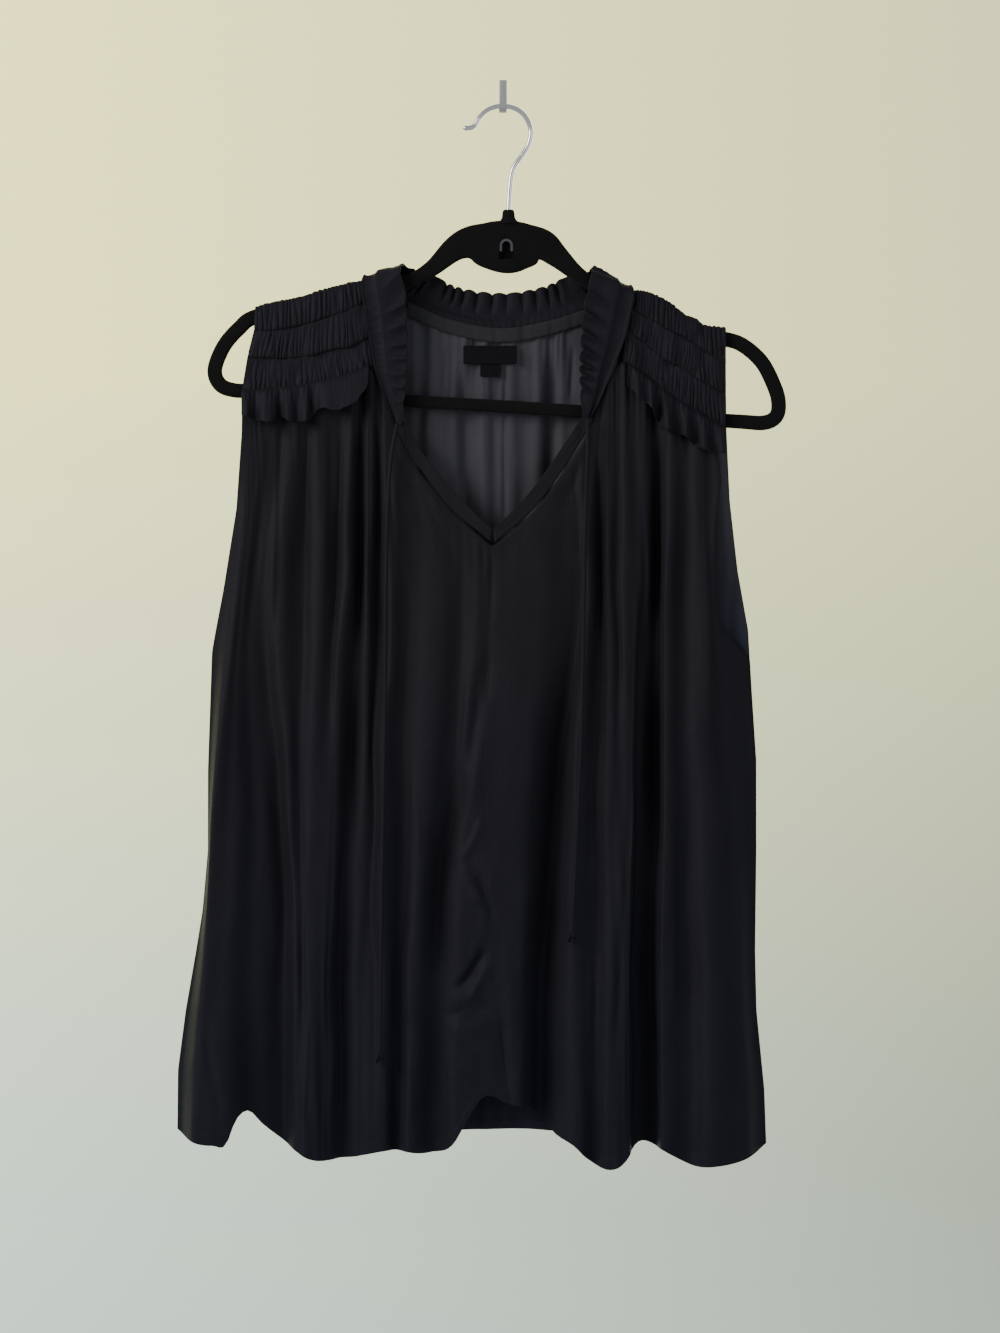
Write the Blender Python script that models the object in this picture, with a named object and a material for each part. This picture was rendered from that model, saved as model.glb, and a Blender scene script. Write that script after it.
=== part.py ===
"""Sleeveless V-neck blouse with smocked shoulder yokes, hung on a slim flocked hanger from a wall hook.

Every place is given in millimetres in the garment's own terms, and `place` turns it into the model's frame:
  x     to the right of the wall hook, seen from the front
  out   away from the wall, towards the front
  drop  down from the wall hook's mount
The model stands with the wall at Y = 0, its front towards -Y and +Z up.
"""

import math
from collections import namedtuple

import bmesh
import bpy
import numpy as np

MM = 0.001

# Cloth and seams
CLOTH = 1.4
SEAM_GAP = 0.35
LIP = 0.95

# Fineness of the panels' grids and of the routes
PANEL_ROWS = 13
BACK_ROWS = 11
WIDE_GAP = 13.0
LEAST_LINE_GAP = 1.2
CROSSING_PASSES = 12
ROUTE_FINENESS = 24
LOOP_STEP = 1.0

# Levels of the front panels, as drops
YOKE_LEVEL, BUST_LEVEL, WAIST_LEVEL, HEM_LEVEL = 256.0, 375.0, 544.0, 790.0
LEVELS = (YOKE_LEVEL, BUST_LEVEL, WAIST_LEVEL, HEM_LEVEL)
FRONT_OUT = (24.0, 30.0, 37.0, 45.0)

# The back: its levels, the first and last x of its gathers there, and how high its waves stand
BACK_LEVELS = (200.0, BUST_LEVEL, WAIST_LEVEL, HEM_LEVEL)
BACK_OUT = (8.5, 9.0, 11.5, 14.0)
BACK_SPANS = ((-198.0, 172.0), (-212.0, 182.0), (-226.0, 194.0), (-250.0, 202.0))
BACK_GATHERS = 19
GATHER_RISES = (1.4, 1.1, 0.7, 0.0)
BROAD_RISES = (0.0, 0.8, 2.2, 4.2)
SWING_SHARES = (0.0, 0.5, 1.0, 1.0)
SWING, SWING_WAVES = 0.012, 2.3
BACK_CORNERS = (-89.9, -87.9, 82.0, 84.0)

# Hanger
HANGER_OUT = 16.0
HANGER_HALF_DEPTH = 3.0
HOOK_WIRE = 3.7
COLLAR_TOP = 91.6
COLLAR_FOOT = 103.0
COLLAR_RADIUS = 3.9
COLLAR_FLARE = 1.5
COLLAR_DEPTH = 0.85
WINDOW_WIDTH = 11.0
WINDOW_TOP, WINDOW_FOOT = 112.0, 128.0
WINDOW_X = 2.5
WINDOW_FLOOR = 1.4
CUTTER_REACH = 2.0
BUSH_RIM = 2.2
BUSH_FOOT = 122.0
BUSH_FACE = 0.8
HOOK_STEP = 4.5

# Wall hook strap
STRAP_WIDTH = 6.0
STRAP_THICK = 1.5
STRAP_STEP = 3.2
STRAP_FLAT_OUT, STRAP_FLAT_DROP = 2.0, 8.0

# Ties
TIE_WIDTH = 3.0
TIE_STEP = 9.0
KNOT_RADIUS = 3.0
KNOT_SHAPE = (0.9, 0.8, 1.2)

# Neck frill: how far each row is from the seam, and how much of the pleats' height it has
NECK_FRILL_PLEATS = 26
NECK_FRILL_WAVE = 2.2
NECK_FRILL_COLUMNS = 3 * NECK_FRILL_PLEATS
NECK_FRILL_ROWS = ((0.0, 0.0), (0.35, 0.45), (0.7, 0.8), (1.0, 1.0))
NECK_FRILL_END = 14

# Shoulder frills
SHOULDER_FRILL_WAVES = 6
SHOULDER_FRILL_WAVE = 2.6
SHOULDER_FRILL_ROWS = (0.0, 0.35, 0.7, 1.0)
SHOULDER_FRILL_OUT, SHOULDER_FRILL_FLARE = 27.0, 4.2
SHOULDER_FRILL_LIFT = 3.0
WAVE_DRIFT, DRIFT_TURN = 0.4, 9
FRILL_INSET = 4.0

# Smocked yokes: rows of a tier, as shares of it, and the pleats between its lines of stitching
TIER_ROWS = (0.0, 0.18, 0.82)
TIER_ROWS_TO_CREST = (0.0, 0.18, 0.55, 0.82)
TIER_ROWS_FROM_CREST = (0.0, 0.18, 0.45, 0.82)
CREST_ROUND = 4
YOKE_PLEATS = 15
YOKE_PUFF = 2.4
YOKE_SWELL = 0.7
YOKE_BASE = 0.1
YOKE_END, YOKE_END_PUFF = 12, 0.3

# Bands, tape and labels: thicknesses, and how far each stands off what it is sewn to
BAND_STEP = 12.0
BAND_THICK = 1.2
BAND_CLEAR = 0.6
BAND_LIFT = 0.3
TAPE_STEP = 6.0
TAPE_THICK = 1.0
TAPE_CLEAR = 0.5
LABEL_THICK = 1.0
LABEL_CLEAR = 0.6
LABEL_COLUMN = 5.0
GATHER_REACH = (-6, -3, 0, 3, 6)

Fold = namedtuple("Fold", "at_yoke at_bust at_waist at_hem rise_yoke rise_bust rise_waist rise_hem")
Edge = namedtuple("Edge", "drop x out")
Corner = namedtuple("Corner", "x drop")
StitchLine = namedtuple("StitchLine", "arm_x arm_drop neck_x neck_drop sag lean out")
FrillSection = namedtuple("FrillSection", "seam_x seam_drop seam_out free_x free_drop free_out")
FrameStation = namedtuple("FrameStation", "x drop half_width")
BandSection = namedtuple("BandSection", "x drop inner_x inner_drop")
BroadWave = namedtuple("BroadWave", "waves phase weight")

# Lines of ridge and valley down each front panel, from its armhole to the centre front
LEFT_FOLDS = (
    Fold(-191, -202, -216, -233, 1.0, 1.5, 0.0, 4.0),
    Fold(-181, -198, -203, -197, 0.5, 1.5, -7.0, -13.0),
    Fold(-176, -195, -190, -182, 0.5, 1.5, 1.0, 0.0),
    Fold(-171, -191, -174, -170, -1.5, -4.0, -3.0, 5.0),
    Fold(-159, -176, -163, -158, 1.5, 2.0, 2.5, 8.0),
    Fold(-151, -155, -158, -150, -1.5, -4.0, -1.0, 9.0),
    Fold(-141, -139, -148, -144, 1.5, 2.0, 3.0, 8.0),
    Fold(-125, -130, -135, -138, -1.5, -2.0, 1.5, 4.0),
    Fold(-117, -122, -128, -133, 1.5, 1.5, 0.0, 0.0),
    Fold(-108, -110, -119, -126, -2.0, -7.0, -7.0, -7.0),
    Fold(-103, -104, -106, -108, 1.5, 3.0, 3.0, 2.0),
    Fold(-96, -93, -98, -99, -1.5, -5.0, -4.0, 4.0),
    Fold(-90, -86, -91, -90, 1.0, 3.0, 3.0, 3.0),
    Fold(-78, -78, -79, -82, 0.0, -1.0, -3.0, -5.0),
    Fold(-64, -56, -55, -67, 0.0, 2.0, 3.0, 5.0),
    Fold(-44, -37, -30, -51, 0.0, 1.0, -2.0, -4.0),
    Fold(-25, -21, -21, -27, 0.0, 1.0, 2.0, 2.0),
)
RIGHT_FOLDS = (
    Fold(158, 158, 172, 183, -1.0, -0.5, -6.0, -1.0),
    Fold(152, 154, 158, 162, 1.0, 2.0, 3.0, 6.0),
    Fold(142, 139, 138, 143, -1.0, -3.0, -3.0, -2.0),
    Fold(130, 127, 122, 121, 1.5, 3.0, 3.0, 4.0),
    Fold(120, 117, 108, 104, -2.5, -9.0, -10.0, -13.0),
    Fold(108, 108, 104, 99, 1.5, 2.0, -1.0, -3.0),
    Fold(99, 101, 99, 96, -1.0, -1.0, 0.0, 1.0),
    Fold(94, 95, 95, 92, 1.0, 2.0, 3.0, 5.0),
    Fold(88, 88, 90, 88, -1.0, -1.5, 2.0, 6.0),
    Fold(82, 83, 84, 82, 0.8, 2.0, 3.0, 6.0),
    Fold(75, 75, 71, 71, -0.5, -3.0, -3.0, -1.0),
    Fold(57, 65, 58, 62, 0.0, 2.0, 2.0, 4.0),
    Fold(38, 46, 39, 27, 0.0, -1.5, -5.0, -4.0),
    Fold(11, 16, 19, 18, 0.0, 1.0, 2.0, 1.0),
)

# Free edge of each front at the armhole and, below the underarm, its side seam
LEFT_FRONT_EDGE = (
    Edge(228, -200.5, 24.0), Edge(262, -201, 24.0), Edge(321, -205, 24.5), Edge(383, -215, 22.5),
    Edge(414, -221, 20.0), Edge(430, -224, 17.0), Edge(521, -227, 17.5), Edge(583, -227, 18.0),
    Edge(629, -231, 18.5), Edge(660, -236, 19.0), Edge(706, -244, 19.5), Edge(752, -250, 20.0),
    Edge(810, -250.5, 20.0),
)
RIGHT_FRONT_EDGE = (
    Edge(250, 166, 24.0), Edge(281, 165, 24.5), Edge(298, 168, 26.0), Edge(339, 163, 27.0),
    Edge(391, 163.5, 27.0), Edge(412, 167, 25.0), Edge(424, 178, 21.0), Edge(434, 190, 17.0),
    Edge(460, 191.5, 17.0), Edge(514, 195, 17.5), Edge(583, 195, 18.0), Edge(660, 194, 19.0),
    Edge(706, 195, 19.5), Edge(767, 201, 20.0), Edge(810, 202.5, 20.0),
)
CENTRE_FRONT = (
    Edge(349, -8, 28.6), Edge(429, -10, 32.3), Edge(514, -14, 35.5), Edge(606, -12, 38.0),
    Edge(698, -5, 40.0), Edge(777, 5, 40.5),
)
LEFT_BACK_EDGE = (
    Edge(205, -196, 8.5), Edge(300, -200, 8.5), Edge(340, -204, 9.0), Edge(383, -213, 11.5),
    Edge(414, -220, 14.5), Edge(430, -224, 17.0), Edge(521, -227, 17.5), Edge(583, -227, 18.0),
    Edge(629, -231, 18.5), Edge(660, -236, 19.0), Edge(706, -244, 19.5), Edge(752, -250, 20.0),
    Edge(810, -250.5, 20.0),
)
RIGHT_BACK_EDGE = (
    Edge(220, 172, 8.5), Edge(260, 172.5, 8.5), Edge(314, 175, 9.0), Edge(368, 181, 11.5),
    Edge(414, 189, 15.0), Edge(434, 190, 17.0), Edge(460, 191.5, 17.0), Edge(514, 195, 17.5),
    Edge(583, 195, 18.0), Edge(660, 194, 19.0), Edge(706, 195, 19.5), Edge(767, 201, 20.0),
    Edge(810, 202.5, 20.0),
)

# Upper and lower outlines of the panels
LEFT_FRONT_TOP = (
    Corner(-201, 231.9), Corner(-178, 231), Corner(-150, 227.2), Corner(-122, 220),
    Corner(-100, 212.2), Corner(-96, 219), Corner(-90, 236), Corner(-84, 254),
    Corner(-81, 260.5), Corner(-72, 280), Corner(-62.5, 294), Corner(-52, 307), Corner(-38, 324),
    Corner(-12, 346.5), Corner(-8, 349),
)
RIGHT_FRONT_TOP = (
    Corner(-8, 349), Corner(-4, 346.5), Corner(20.5, 326.5), Corner(31, 313.5), Corner(43, 297),
    Corner(54.5, 280), Corner(66, 262), Corner(70.5, 250), Corner(76, 234), Corner(83, 218),
    Corner(88, 209), Corner(92.5, 207.5), Corner(105, 217.5), Corner(118, 227.2), Corner(145, 245.6),
    Corner(158, 253.6), Corner(171, 261),
)
LEFT_FRONT_HEM = (
    Corner(-251, 797), Corner(-241, 804), Corner(-222, 808), Corner(-211, 806), Corner(-205, 790),
    Corner(-196, 782), Corner(-185, 792), Corner(-167, 806), Corner(-149, 818), Corner(-121, 818),
    Corner(-84, 812), Corner(-56, 814), Corner(-38, 807), Corner(-28, 790), Corner(-16, 772),
    Corner(5, 777),
)
RIGHT_FRONT_HEM = (
    Corner(5, 777), Corner(28, 785), Corner(38, 798), Corner(55, 809), Corner(64, 818),
    Corner(94, 820), Corner(102, 808), Corner(119, 810), Corner(128, 815), Corner(147, 824),
    Corner(165, 824), Corner(184, 820), Corner(194, 815), Corner(203, 808),
)
BACK_TOP = (
    Corner(-196, 209), Corner(-90.2, 196.4), Corner(-88, 164), Corner(-75, 166), Corner(-64, 169),
    Corner(-41, 177), Corner(-2, 184), Corner(36, 178), Corner(63, 170), Corner(82, 167),
    Corner(84.2, 196.6), Corner(172, 226),
)
BACK_HEM = (
    Corner(-251, 797), Corner(-120, 803), Corner(-20, 799), Corner(20, 798), Corner(45, 800),
    Corner(130, 805), Corner(203, 806),
)
BACK_WAVES = (BroadWave(3.2, 0.6, 1.0), BroadWave(5.3, 1.9, 0.6))

# Lines of stitching across each yoke, from its front seam over the shoulder to its back seam;
# each hangs below straight by its sag in the middle, and its lean swings it into an S
LEFT_YOKE = (
    StitchLine(-201, 231, -99, 211, 5, 0, 22.6),
    StitchLine(-196.5, 203, -103, 188.5, 6.5, 0, 22.6),
    StitchLine(-191.5, 183, -106.5, 160, 6, 0, 22.6),
    StitchLine(-190.7, 164.3, -108, 143.6, 0.5, 0, 16.0),
    StitchLine(-191, 184, -92, 170, 0, 0, 9.2),
    StitchLine(-196, 208, -92, 195, 0, 0, 9.2),
)
RIGHT_YOKE = (
    StitchLine(171, 260, 92, 206, 2.5, 0, 22.6),
    StitchLine(171, 230, 95, 181, 5, 0, 22.6),
    StitchLine(171.5, 208, 98, 165, 1, 0, 22.6),
    StitchLine(171.5, 180.4, 99, 152.6, -1, 4, 16.0),
    StitchLine(172, 205, 86, 175, 0, 0, 9.2),
    StitchLine(172, 225, 86, 195, 0, 0, 9.2),
)
LEFT_FRILL_EDGE = (
    Corner(-202, 247), Corner(-184, 252.5), Corner(-160, 253.5), Corner(-143, 247.5),
    Corner(-128, 245.5), Corner(-113, 238.5), Corner(-103, 225), Corner(-98, 216.5),
)
RIGHT_FRILL_EDGE = (
    Corner(92, 224), Corner(100, 231), Corner(108, 239), Corner(119, 253), Corner(131, 262),
    Corner(147, 271), Corner(157, 276), Corner(172, 279),
)

# The neck frill, from the left end of the V round the back neck to the right end
NECK_FRILL = (
    FrillSection(-84, 254, 26.6, -78, 257, 27.6),
    FrillSection(-91, 235, 26.6, -76, 236, 28.5),
    FrillSection(-99, 212, 26.6, -74, 211, 28.5),
    FrillSection(-103, 190, 26.6, -74, 184, 28.0),
    FrillSection(-107, 166, 26.6, -75, 155, 27.5),
    FrillSection(-109.5, 148, 24.8, -79, 135, 25.0),
    FrillSection(-107, 139.8, 16.5, -77, 131, 16.0),
    FrillSection(-101, 151, 7.0, -73, 134, 7.0),
    FrillSection(-89, 161, 6.4, -61, 137, 5.0),
    FrillSection(-64, 167.6, 6.6, -52, 141, 4.8),
    FrillSection(-41, 175.6, 6.6, -37, 149, 4.6),
    FrillSection(-2, 182.6, 6.6, -2, 154, 4.5),
    FrillSection(36, 176.6, 6.6, 32, 149, 4.6),
    FrillSection(62, 168.6, 6.6, 50, 141, 4.8),
    FrillSection(84, 163.5, 6.4, 61, 138, 5.0),
    FrillSection(94, 157, 7.0, 66, 137, 7.0),
    FrillSection(99, 147.8, 16.5, 69, 134, 16.0),
    FrillSection(101, 154, 24.8, 69, 137, 25.0),
    FrillSection(98, 172, 26.6, 64, 157, 27.5),
    FrillSection(92, 195, 26.6, 61, 184, 28.0),
    FrillSection(83, 216, 26.6, 60, 210, 28.5),
    FrillSection(76, 234, 26.6, 60, 234, 28.5),
    FrillSection(68, 249, 26.6, 61, 250, 27.6),
)

# Bound edge of the V, outer then inner line of each side, from its top to the point
LEFT_BAND = (
    BandSection(-79.5, 259.5, -74, 256.5), BandSection(-71, 278, -63.5, 274.5),
    BandSection(-62, 292, -54, 288), BandSection(-52, 305, -43, 301), BandSection(-38, 322, -29, 316.5),
    BandSection(-9.2, 346, -8.6, 336),
)
RIGHT_BAND = (
    BandSection(65, 260, 57, 255.5), BandSection(54, 278, 45.5, 273), BandSection(43, 295, 34, 290),
    BandSection(31, 311.5, 22, 306), BandSection(20, 324, 11.5, 318), BandSection(-6.8, 347, -7.4, 336.5),
)

# Back neck tape, upper line and lower line
NECK_TAPE = ((-74, 164.5, 172), (-41, 178.5, 186), (-2, 185.5, 193), (36, 179.5, 187), (66, 170, 177.5))

# Routes of the ties, hand-placed down the front
LEFT_TIE = (
    (-81.5, 31.5, 256), (-85, 33.5, 275), (-87.5, 35.5, 300), (-89, 38.5, 340), (-90, 41, 400),
    (-90.5, 44, 480), (-91.8, 47, 560), (-93.2, 50, 650), (-94, 52.5, 738),
)
RIGHT_TIE = (
    (65, 31.5, 252), (65, 33.5, 272), (64, 35.5, 300), (62.5, 38.5, 350), (61.5, 41.5, 420),
    (60, 44, 490), (57, 46.5, 560), (54, 48.5, 620), (52.5, 49.5, 646),
)

# Frame of the hanger, from the middle of its bridge round by the left end, the bar and the right end
HANGER_FRAME = (
    FrameStation(4, 118.5, 20.5), FrameStation(-12, 117, 18), FrameStation(-26, 115.5, 12.8),
    FrameStation(-38, 120.5, 9.6), FrameStation(-54, 134.5, 6.5), FrameStation(-68, 143, 5.4),
    FrameStation(-83, 148, 5.2), FrameStation(-118, 156, 5.4), FrameStation(-156, 164.5, 5.6),
    FrameStation(-191, 172.5, 5.7), FrameStation(-203, 181, 5.7), FrameStation(-215, 195, 5.7),
    FrameStation(-222, 213, 5.7), FrameStation(-218, 224.5, 5.7), FrameStation(-207, 229, 5.6),
    FrameStation(-187, 230, 5.4), FrameStation(-95, 236, 4.9), FrameStation(0, 241.5, 4.9),
    FrameStation(95, 247.5, 4.9), FrameStation(180, 253, 5.5), FrameStation(201, 254, 5.7),
    FrameStation(210.5, 249, 5.7), FrameStation(212.3, 238.5, 5.7), FrameStation(209, 226, 5.7),
    FrameStation(199.5, 207.5, 5.7), FrameStation(185, 194.5, 5.7), FrameStation(172, 189.8, 5.7),
    FrameStation(158, 188.4, 5.7), FrameStation(140, 181, 5.5), FrameStation(113, 168.5, 5.4),
    FrameStation(86, 158, 5.2), FrameStation(68, 147, 5.4), FrameStation(55, 137.5, 6.3),
    FrameStation(41, 125, 9.2), FrameStation(31, 117.5, 12.4), FrameStation(18, 117.5, 17.5),
)
HANGER_STATIONS = 64
BEND_WEIGHT = 60.0

# Section of the hanger as (side, at its edge, depth); other points stand in by the corner's width
HANGER_SECTION = (
    (1, True, 0.45), (1, False, 1.0), (-1, False, 1.0), (-1, True, 0.45),
    (-1, True, -0.45), (-1, False, -1.0), (1, False, -1.0), (1, True, -0.45),
)
CORNER_WIDTH = 1.5
HOOK_ROUTE = (
    (-31, 27.2), (-23, 26), (-18, 18.6), (-11, 12.6), (-1, 10), (10, 12.3), (17.7, 19), (21.4, 29.5),
    (19.6, 39.5), (14.5, 48), (9.2, 55.5), (6.7, 61.5), (5.5, 70), (4.7, 80), (4.2, COLLAR_TOP - SEAM_GAP),
)
STRAP_ROUTE = (
    (0.75, -11.5), (0.75, 0), (0.75, 8), (1.8, 11.3), (4.8, 13.2), (9, 13.9), (14, 14.0), (18, 12.8),
    (20.1, 9.6), (20.6, 5), (20.8, 0.8),
)

LABEL_X, LABEL_DROP, LABEL_WIDE, LABEL_TALL = -10.0, 194.5, 41.0, 14.0
TAB_X, TAB_DROP, TAB_WIDE, TAB_TALL = -10.0, 209.2, 15.0, 9.0


def place(x, out, drop):
    """A point of the garment's terms, in metres in the model's frame."""
    return np.stack(np.broadcast_arrays(x, -np.asarray(out), -np.asarray(drop)), axis=-1) * MM


def eased(at, stations, values):
    """A smooth curve through the values at the stations, level past its ends."""
    stations, values = np.asarray(stations, float), np.asarray(values, float)
    slopes = np.gradient(values, stations, axis=0)
    at = np.clip(at, stations[0], stations[-1])
    i = np.clip(np.searchsorted(stations, at) - 1, 0, len(stations) - 2)
    span = stations[i + 1] - stations[i]
    t = (at - stations[i]) / span
    return (
        (1 + 2 * t) * (1 - t) ** 2 * values[i]
        + t * (1 - t) ** 2 * span * slopes[i]
        + t * t * (3 - 2 * t) * values[i + 1]
        + t * t * (t - 1) * span * slopes[i + 1]
    )


def outline(at, rows, field, by):
    """The field of the rows read along another of their fields, straight between rows."""
    return np.interp(at, [getattr(row, by) for row in rows], [getattr(row, field) for row in rows])


def smooth_route(points, step):
    """Points every `step` along a Catmull-Rom curve through the route's points."""
    route = np.asarray(points, float)
    ends = np.vstack([2 * route[0] - route[1], route, 2 * route[-1] - route[-2]])
    t = np.linspace(0, 1, ROUTE_FINENESS, endpoint=False)[:, None]
    fine = []
    for a, b, c, d in zip(ends, ends[1:], ends[2:], ends[3:]):
        curved = (2 * a - 5 * b + 4 * c - d) * t**2 + (3 * b - a - 3 * c + d) * t**3
        fine.append(0.5 * (2 * b + (c - a) * t + curved))
    fine = np.vstack([*fine, route[-1:]])
    run = np.concatenate([[0], np.cumsum(np.linalg.norm(np.diff(fine, axis=0), axis=1))])
    at = np.linspace(0, run[-1], max(2, round(run[-1] / step) + 1))
    return np.stack([np.interp(at, run, fine[:, axis]) for axis in range(route.shape[1])], axis=-1)


def material(name, colour, roughness, metallic=0.0):
    made = bpy.data.materials.new(name)
    made.use_nodes = True
    shader = made.node_tree.nodes["Principled BSDF"]
    shader.inputs["Base Color"].default_value = (*colour, 1)
    shader.inputs["Roughness"].default_value = roughness
    shader.inputs["Metallic"].default_value = metallic
    return made


def add_object(name, data, made_of):
    data.materials.append(made_of)
    made = bpy.data.objects.new(name, data)
    bpy.context.scene.collection.objects.link(made)
    return made


def grid_normals(grid):
    """Unit normals of a grid of points, from its rows and columns."""
    across = np.gradient(grid, axis=1)
    down = np.gradient(grid, axis=0)
    normals = np.cross(across, down)
    return normals / np.maximum(np.linalg.norm(normals, axis=-1, keepdims=True), 1e-12)


def add_wall(name, grid, made_of, thick=CLOTH, relief=0.0, face_side=1):
    """A closed wall on a grid of middle points, with relief raised on its face side only."""
    normals = grid_normals(grid) * face_side
    face = grid + normals * (thick / 2 + np.asarray(relief)[..., None]) * MM
    inner = grid - normals * thick / 2 * MM
    rows, columns = grid.shape[:2]
    mesh = bpy.data.meshes.new(name)
    shape = bmesh.new()
    sheets = [[[shape.verts.new(p) for p in row] for row in sheet] for sheet in (face, inner)]
    for i in range(rows - 1):
        for j in range(columns - 1):
            rising = np.linalg.norm(grid[i, j] - grid[i + 1, j + 1])
            falling = np.linalg.norm(grid[i + 1, j] - grid[i, j + 1])
            for sheet in sheets:
                a, b, c, d = sheet[i][j], sheet[i][j + 1], sheet[i + 1][j + 1], sheet[i + 1][j]
                for corners in ((a, b, c), (a, c, d)) if rising <= falling else ((a, b, d), (b, c, d)):
                    shape.faces.new(corners)
    rim = [(0, j) for j in range(columns)] + [(i, columns - 1) for i in range(1, rows)]
    rim += [(rows - 1, j) for j in range(columns - 2, -1, -1)] + [(i, 0) for i in range(rows - 2, 0, -1)]
    for (i, j), (k, m) in zip(rim, rim[1:] + rim[:1]):
        shape.faces.new((sheets[0][i][j], sheets[0][k][m], sheets[1][k][m], sheets[1][i][j]))
    bmesh.ops.recalc_face_normals(shape, faces=shape.faces)
    shape.to_mesh(mesh)
    shape.free()
    mesh.shade_smooth()
    return add_object(name, mesh, made_of)


def add_tube(name, points, width, made_of):
    """A round tube along the points, with closed ends."""
    curve = bpy.data.curves.new(name, "CURVE")
    curve.dimensions = "3D"
    curve.bevel_depth = width / 2 * MM
    curve.bevel_resolution = 2
    curve.use_fill_caps = True
    spline = curve.splines.new("POLY")
    spline.points.add(len(points) - 1)
    for spot, point in zip(spline.points, points):
        spot.co = (*point, 1)
    return add_object(name, curve, made_of)


class Panel:
    """A hanging panel: lines of ridge and valley between two side edges."""

    def __init__(self, stations, outs, first_edge, folds, last_edge, steps=2, corners=()):
        self.stations, self.steps, self.corners = stations, steps, corners
        self.first_edge, self.last_edge = first_edge, last_edge
        table = np.array(folds, float).T
        self.across, self.outs = table[:4], table[4:] + np.array(outs)[:, None]

    def lines(self, drop):
        """x and out of each line at this drop, first edge to last."""
        ends = (self.first_edge, self.last_edge)
        first_x, last_x = (outline(drop, edge, "x", "drop") for edge in ends)
        first_out, last_out = (outline(drop, edge, "out", "drop") for edge in ends)
        xs = np.concatenate([[first_x], eased(drop, self.stations, self.across), [last_x]])
        outs = np.concatenate([[first_out], eased(drop, self.stations, self.outs), [last_out]])
        return self.kept_in_order(xs), outs

    def kept_in_order(self, xs):
        """Lines pressed together where an edge comes in past them."""
        side = np.sign(xs[-1] - xs[0])
        rising = xs * side
        from_first = rising[0] + LEAST_LINE_GAP * np.arange(len(xs))
        from_last = rising[-1] - LEAST_LINE_GAP * np.arange(len(xs))[::-1]
        return np.minimum(np.maximum(rising, from_first), from_last) * side

    def out_at(self, x, drop):
        """How far out the middle of the wall is at this place."""
        xs, outs = self.lines(drop)
        order = np.argsort(xs)
        xs, outs = xs[order], outs[order]
        i = int(np.clip(np.searchsorted(xs, x) - 1, 0, len(xs) - 2))
        t = float(np.clip((x - xs[i]) / (xs[i + 1] - xs[i]), 0, 1))
        return outs[i] + (outs[i + 1] - outs[i]) * t * t * (3 - 2 * t)

    def columns(self):
        """Line numbers of the grid's columns, with steps between lines that are far apart."""
        xs = self.lines(self.stations[1])[0]
        found = []
        for i, gap in enumerate(np.abs(np.diff(xs))):
            steps = self.steps + (gap > WIDE_GAP)
            found += [i + step / steps for step in range(steps)]
        return sorted([*found, *self.corners, len(xs) - 1])

    def point(self, column, drop):
        """x and out on a column at this drop, rounded between its two lines."""
        xs, outs = self.lines(drop)
        i = min(int(column), len(xs) - 2)
        t = column - i
        ease = t * t * (3 - 2 * t)
        return xs[i] + (xs[i + 1] - xs[i]) * t, outs[i] + (outs[i + 1] - outs[i]) * ease

    def end_of(self, column, edge, start):
        """Where a column crosses an upper or lower outline."""
        drop = start
        for _ in range(CROSSING_PASSES):
            drop = outline(self.point(column, drop)[0], edge, "drop", "x")
        return drop

    def grid(self, top, hem, rows):
        columns = []
        for column in self.columns():
            first = self.end_of(column, top, self.stations[0])
            last = self.end_of(column, hem, self.stations[-1])
            drops = first + (last - first) * np.linspace(0, 1, rows + 1)
            spots = [(*self.point(column, drop), drop) for drop in drops]
            columns.append([place(x, out, drop) for x, out, drop in spots])
        return np.array(columns).transpose(1, 0, 2)


def moved(edge, sideways=0.0, forward=0.0):
    return tuple(Edge(row.drop, row.x + sideways, row.out + forward) for row in edge)


def front_left():
    edges = moved(LEFT_FRONT_EDGE, forward=LIP), moved(CENTRE_FRONT, sideways=-SEAM_GAP / 2)
    return Panel(LEVELS, FRONT_OUT, edges[0], LEFT_FOLDS, edges[1])


def front_right():
    edges = moved(CENTRE_FRONT, sideways=SEAM_GAP / 2), moved(RIGHT_FRONT_EDGE, forward=LIP)
    return Panel(LEVELS, FRONT_OUT, edges[0], RIGHT_FOLDS[::-1], edges[1])


def back():
    """The back, gathered evenly into the neck and the yokes and hanging in a few broad folds."""
    folds = []
    for i in range(1, 2 * BACK_GATHERS):
        share = i / (2 * BACK_GATHERS)
        sharp = 1.0 if i % 2 else -1.0
        broad = sum(w.weight * math.sin(2 * math.pi * w.waves * share + w.phase) for w in BACK_WAVES)
        swing = SWING * math.sin(2 * math.pi * SWING_WAVES * share)
        across = [
            first + (last - first) * (share + swing * part)
            for (first, last), part in zip(BACK_SPANS, SWING_SHARES)
        ]
        rises = [gather * sharp + wide * broad for gather, wide in zip(GATHER_RISES, BROAD_RISES)]
        folds.append(Fold(*across, *rises))
    edges = moved(LEFT_BACK_EDGE, forward=-LIP), moved(RIGHT_BACK_EDGE, forward=-LIP)
    first, last = BACK_SPANS[0]
    corners = [2 * BACK_GATHERS * (x - first) / (last - first) for x in BACK_CORNERS]
    return Panel(BACK_LEVELS, BACK_OUT, edges[0], folds, edges[1], steps=1, corners=corners)


def add_panels(cloth, left, right, rear):
    add_wall("front_left", left.grid(LEFT_FRONT_TOP, LEFT_FRONT_HEM, PANEL_ROWS), cloth)
    add_wall("front_right", right.grid(RIGHT_FRONT_TOP, RIGHT_FRONT_HEM, PANEL_ROWS), cloth)
    add_wall("back", rear.grid(BACK_TOP, BACK_HEM, BACK_ROWS), cloth)


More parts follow.
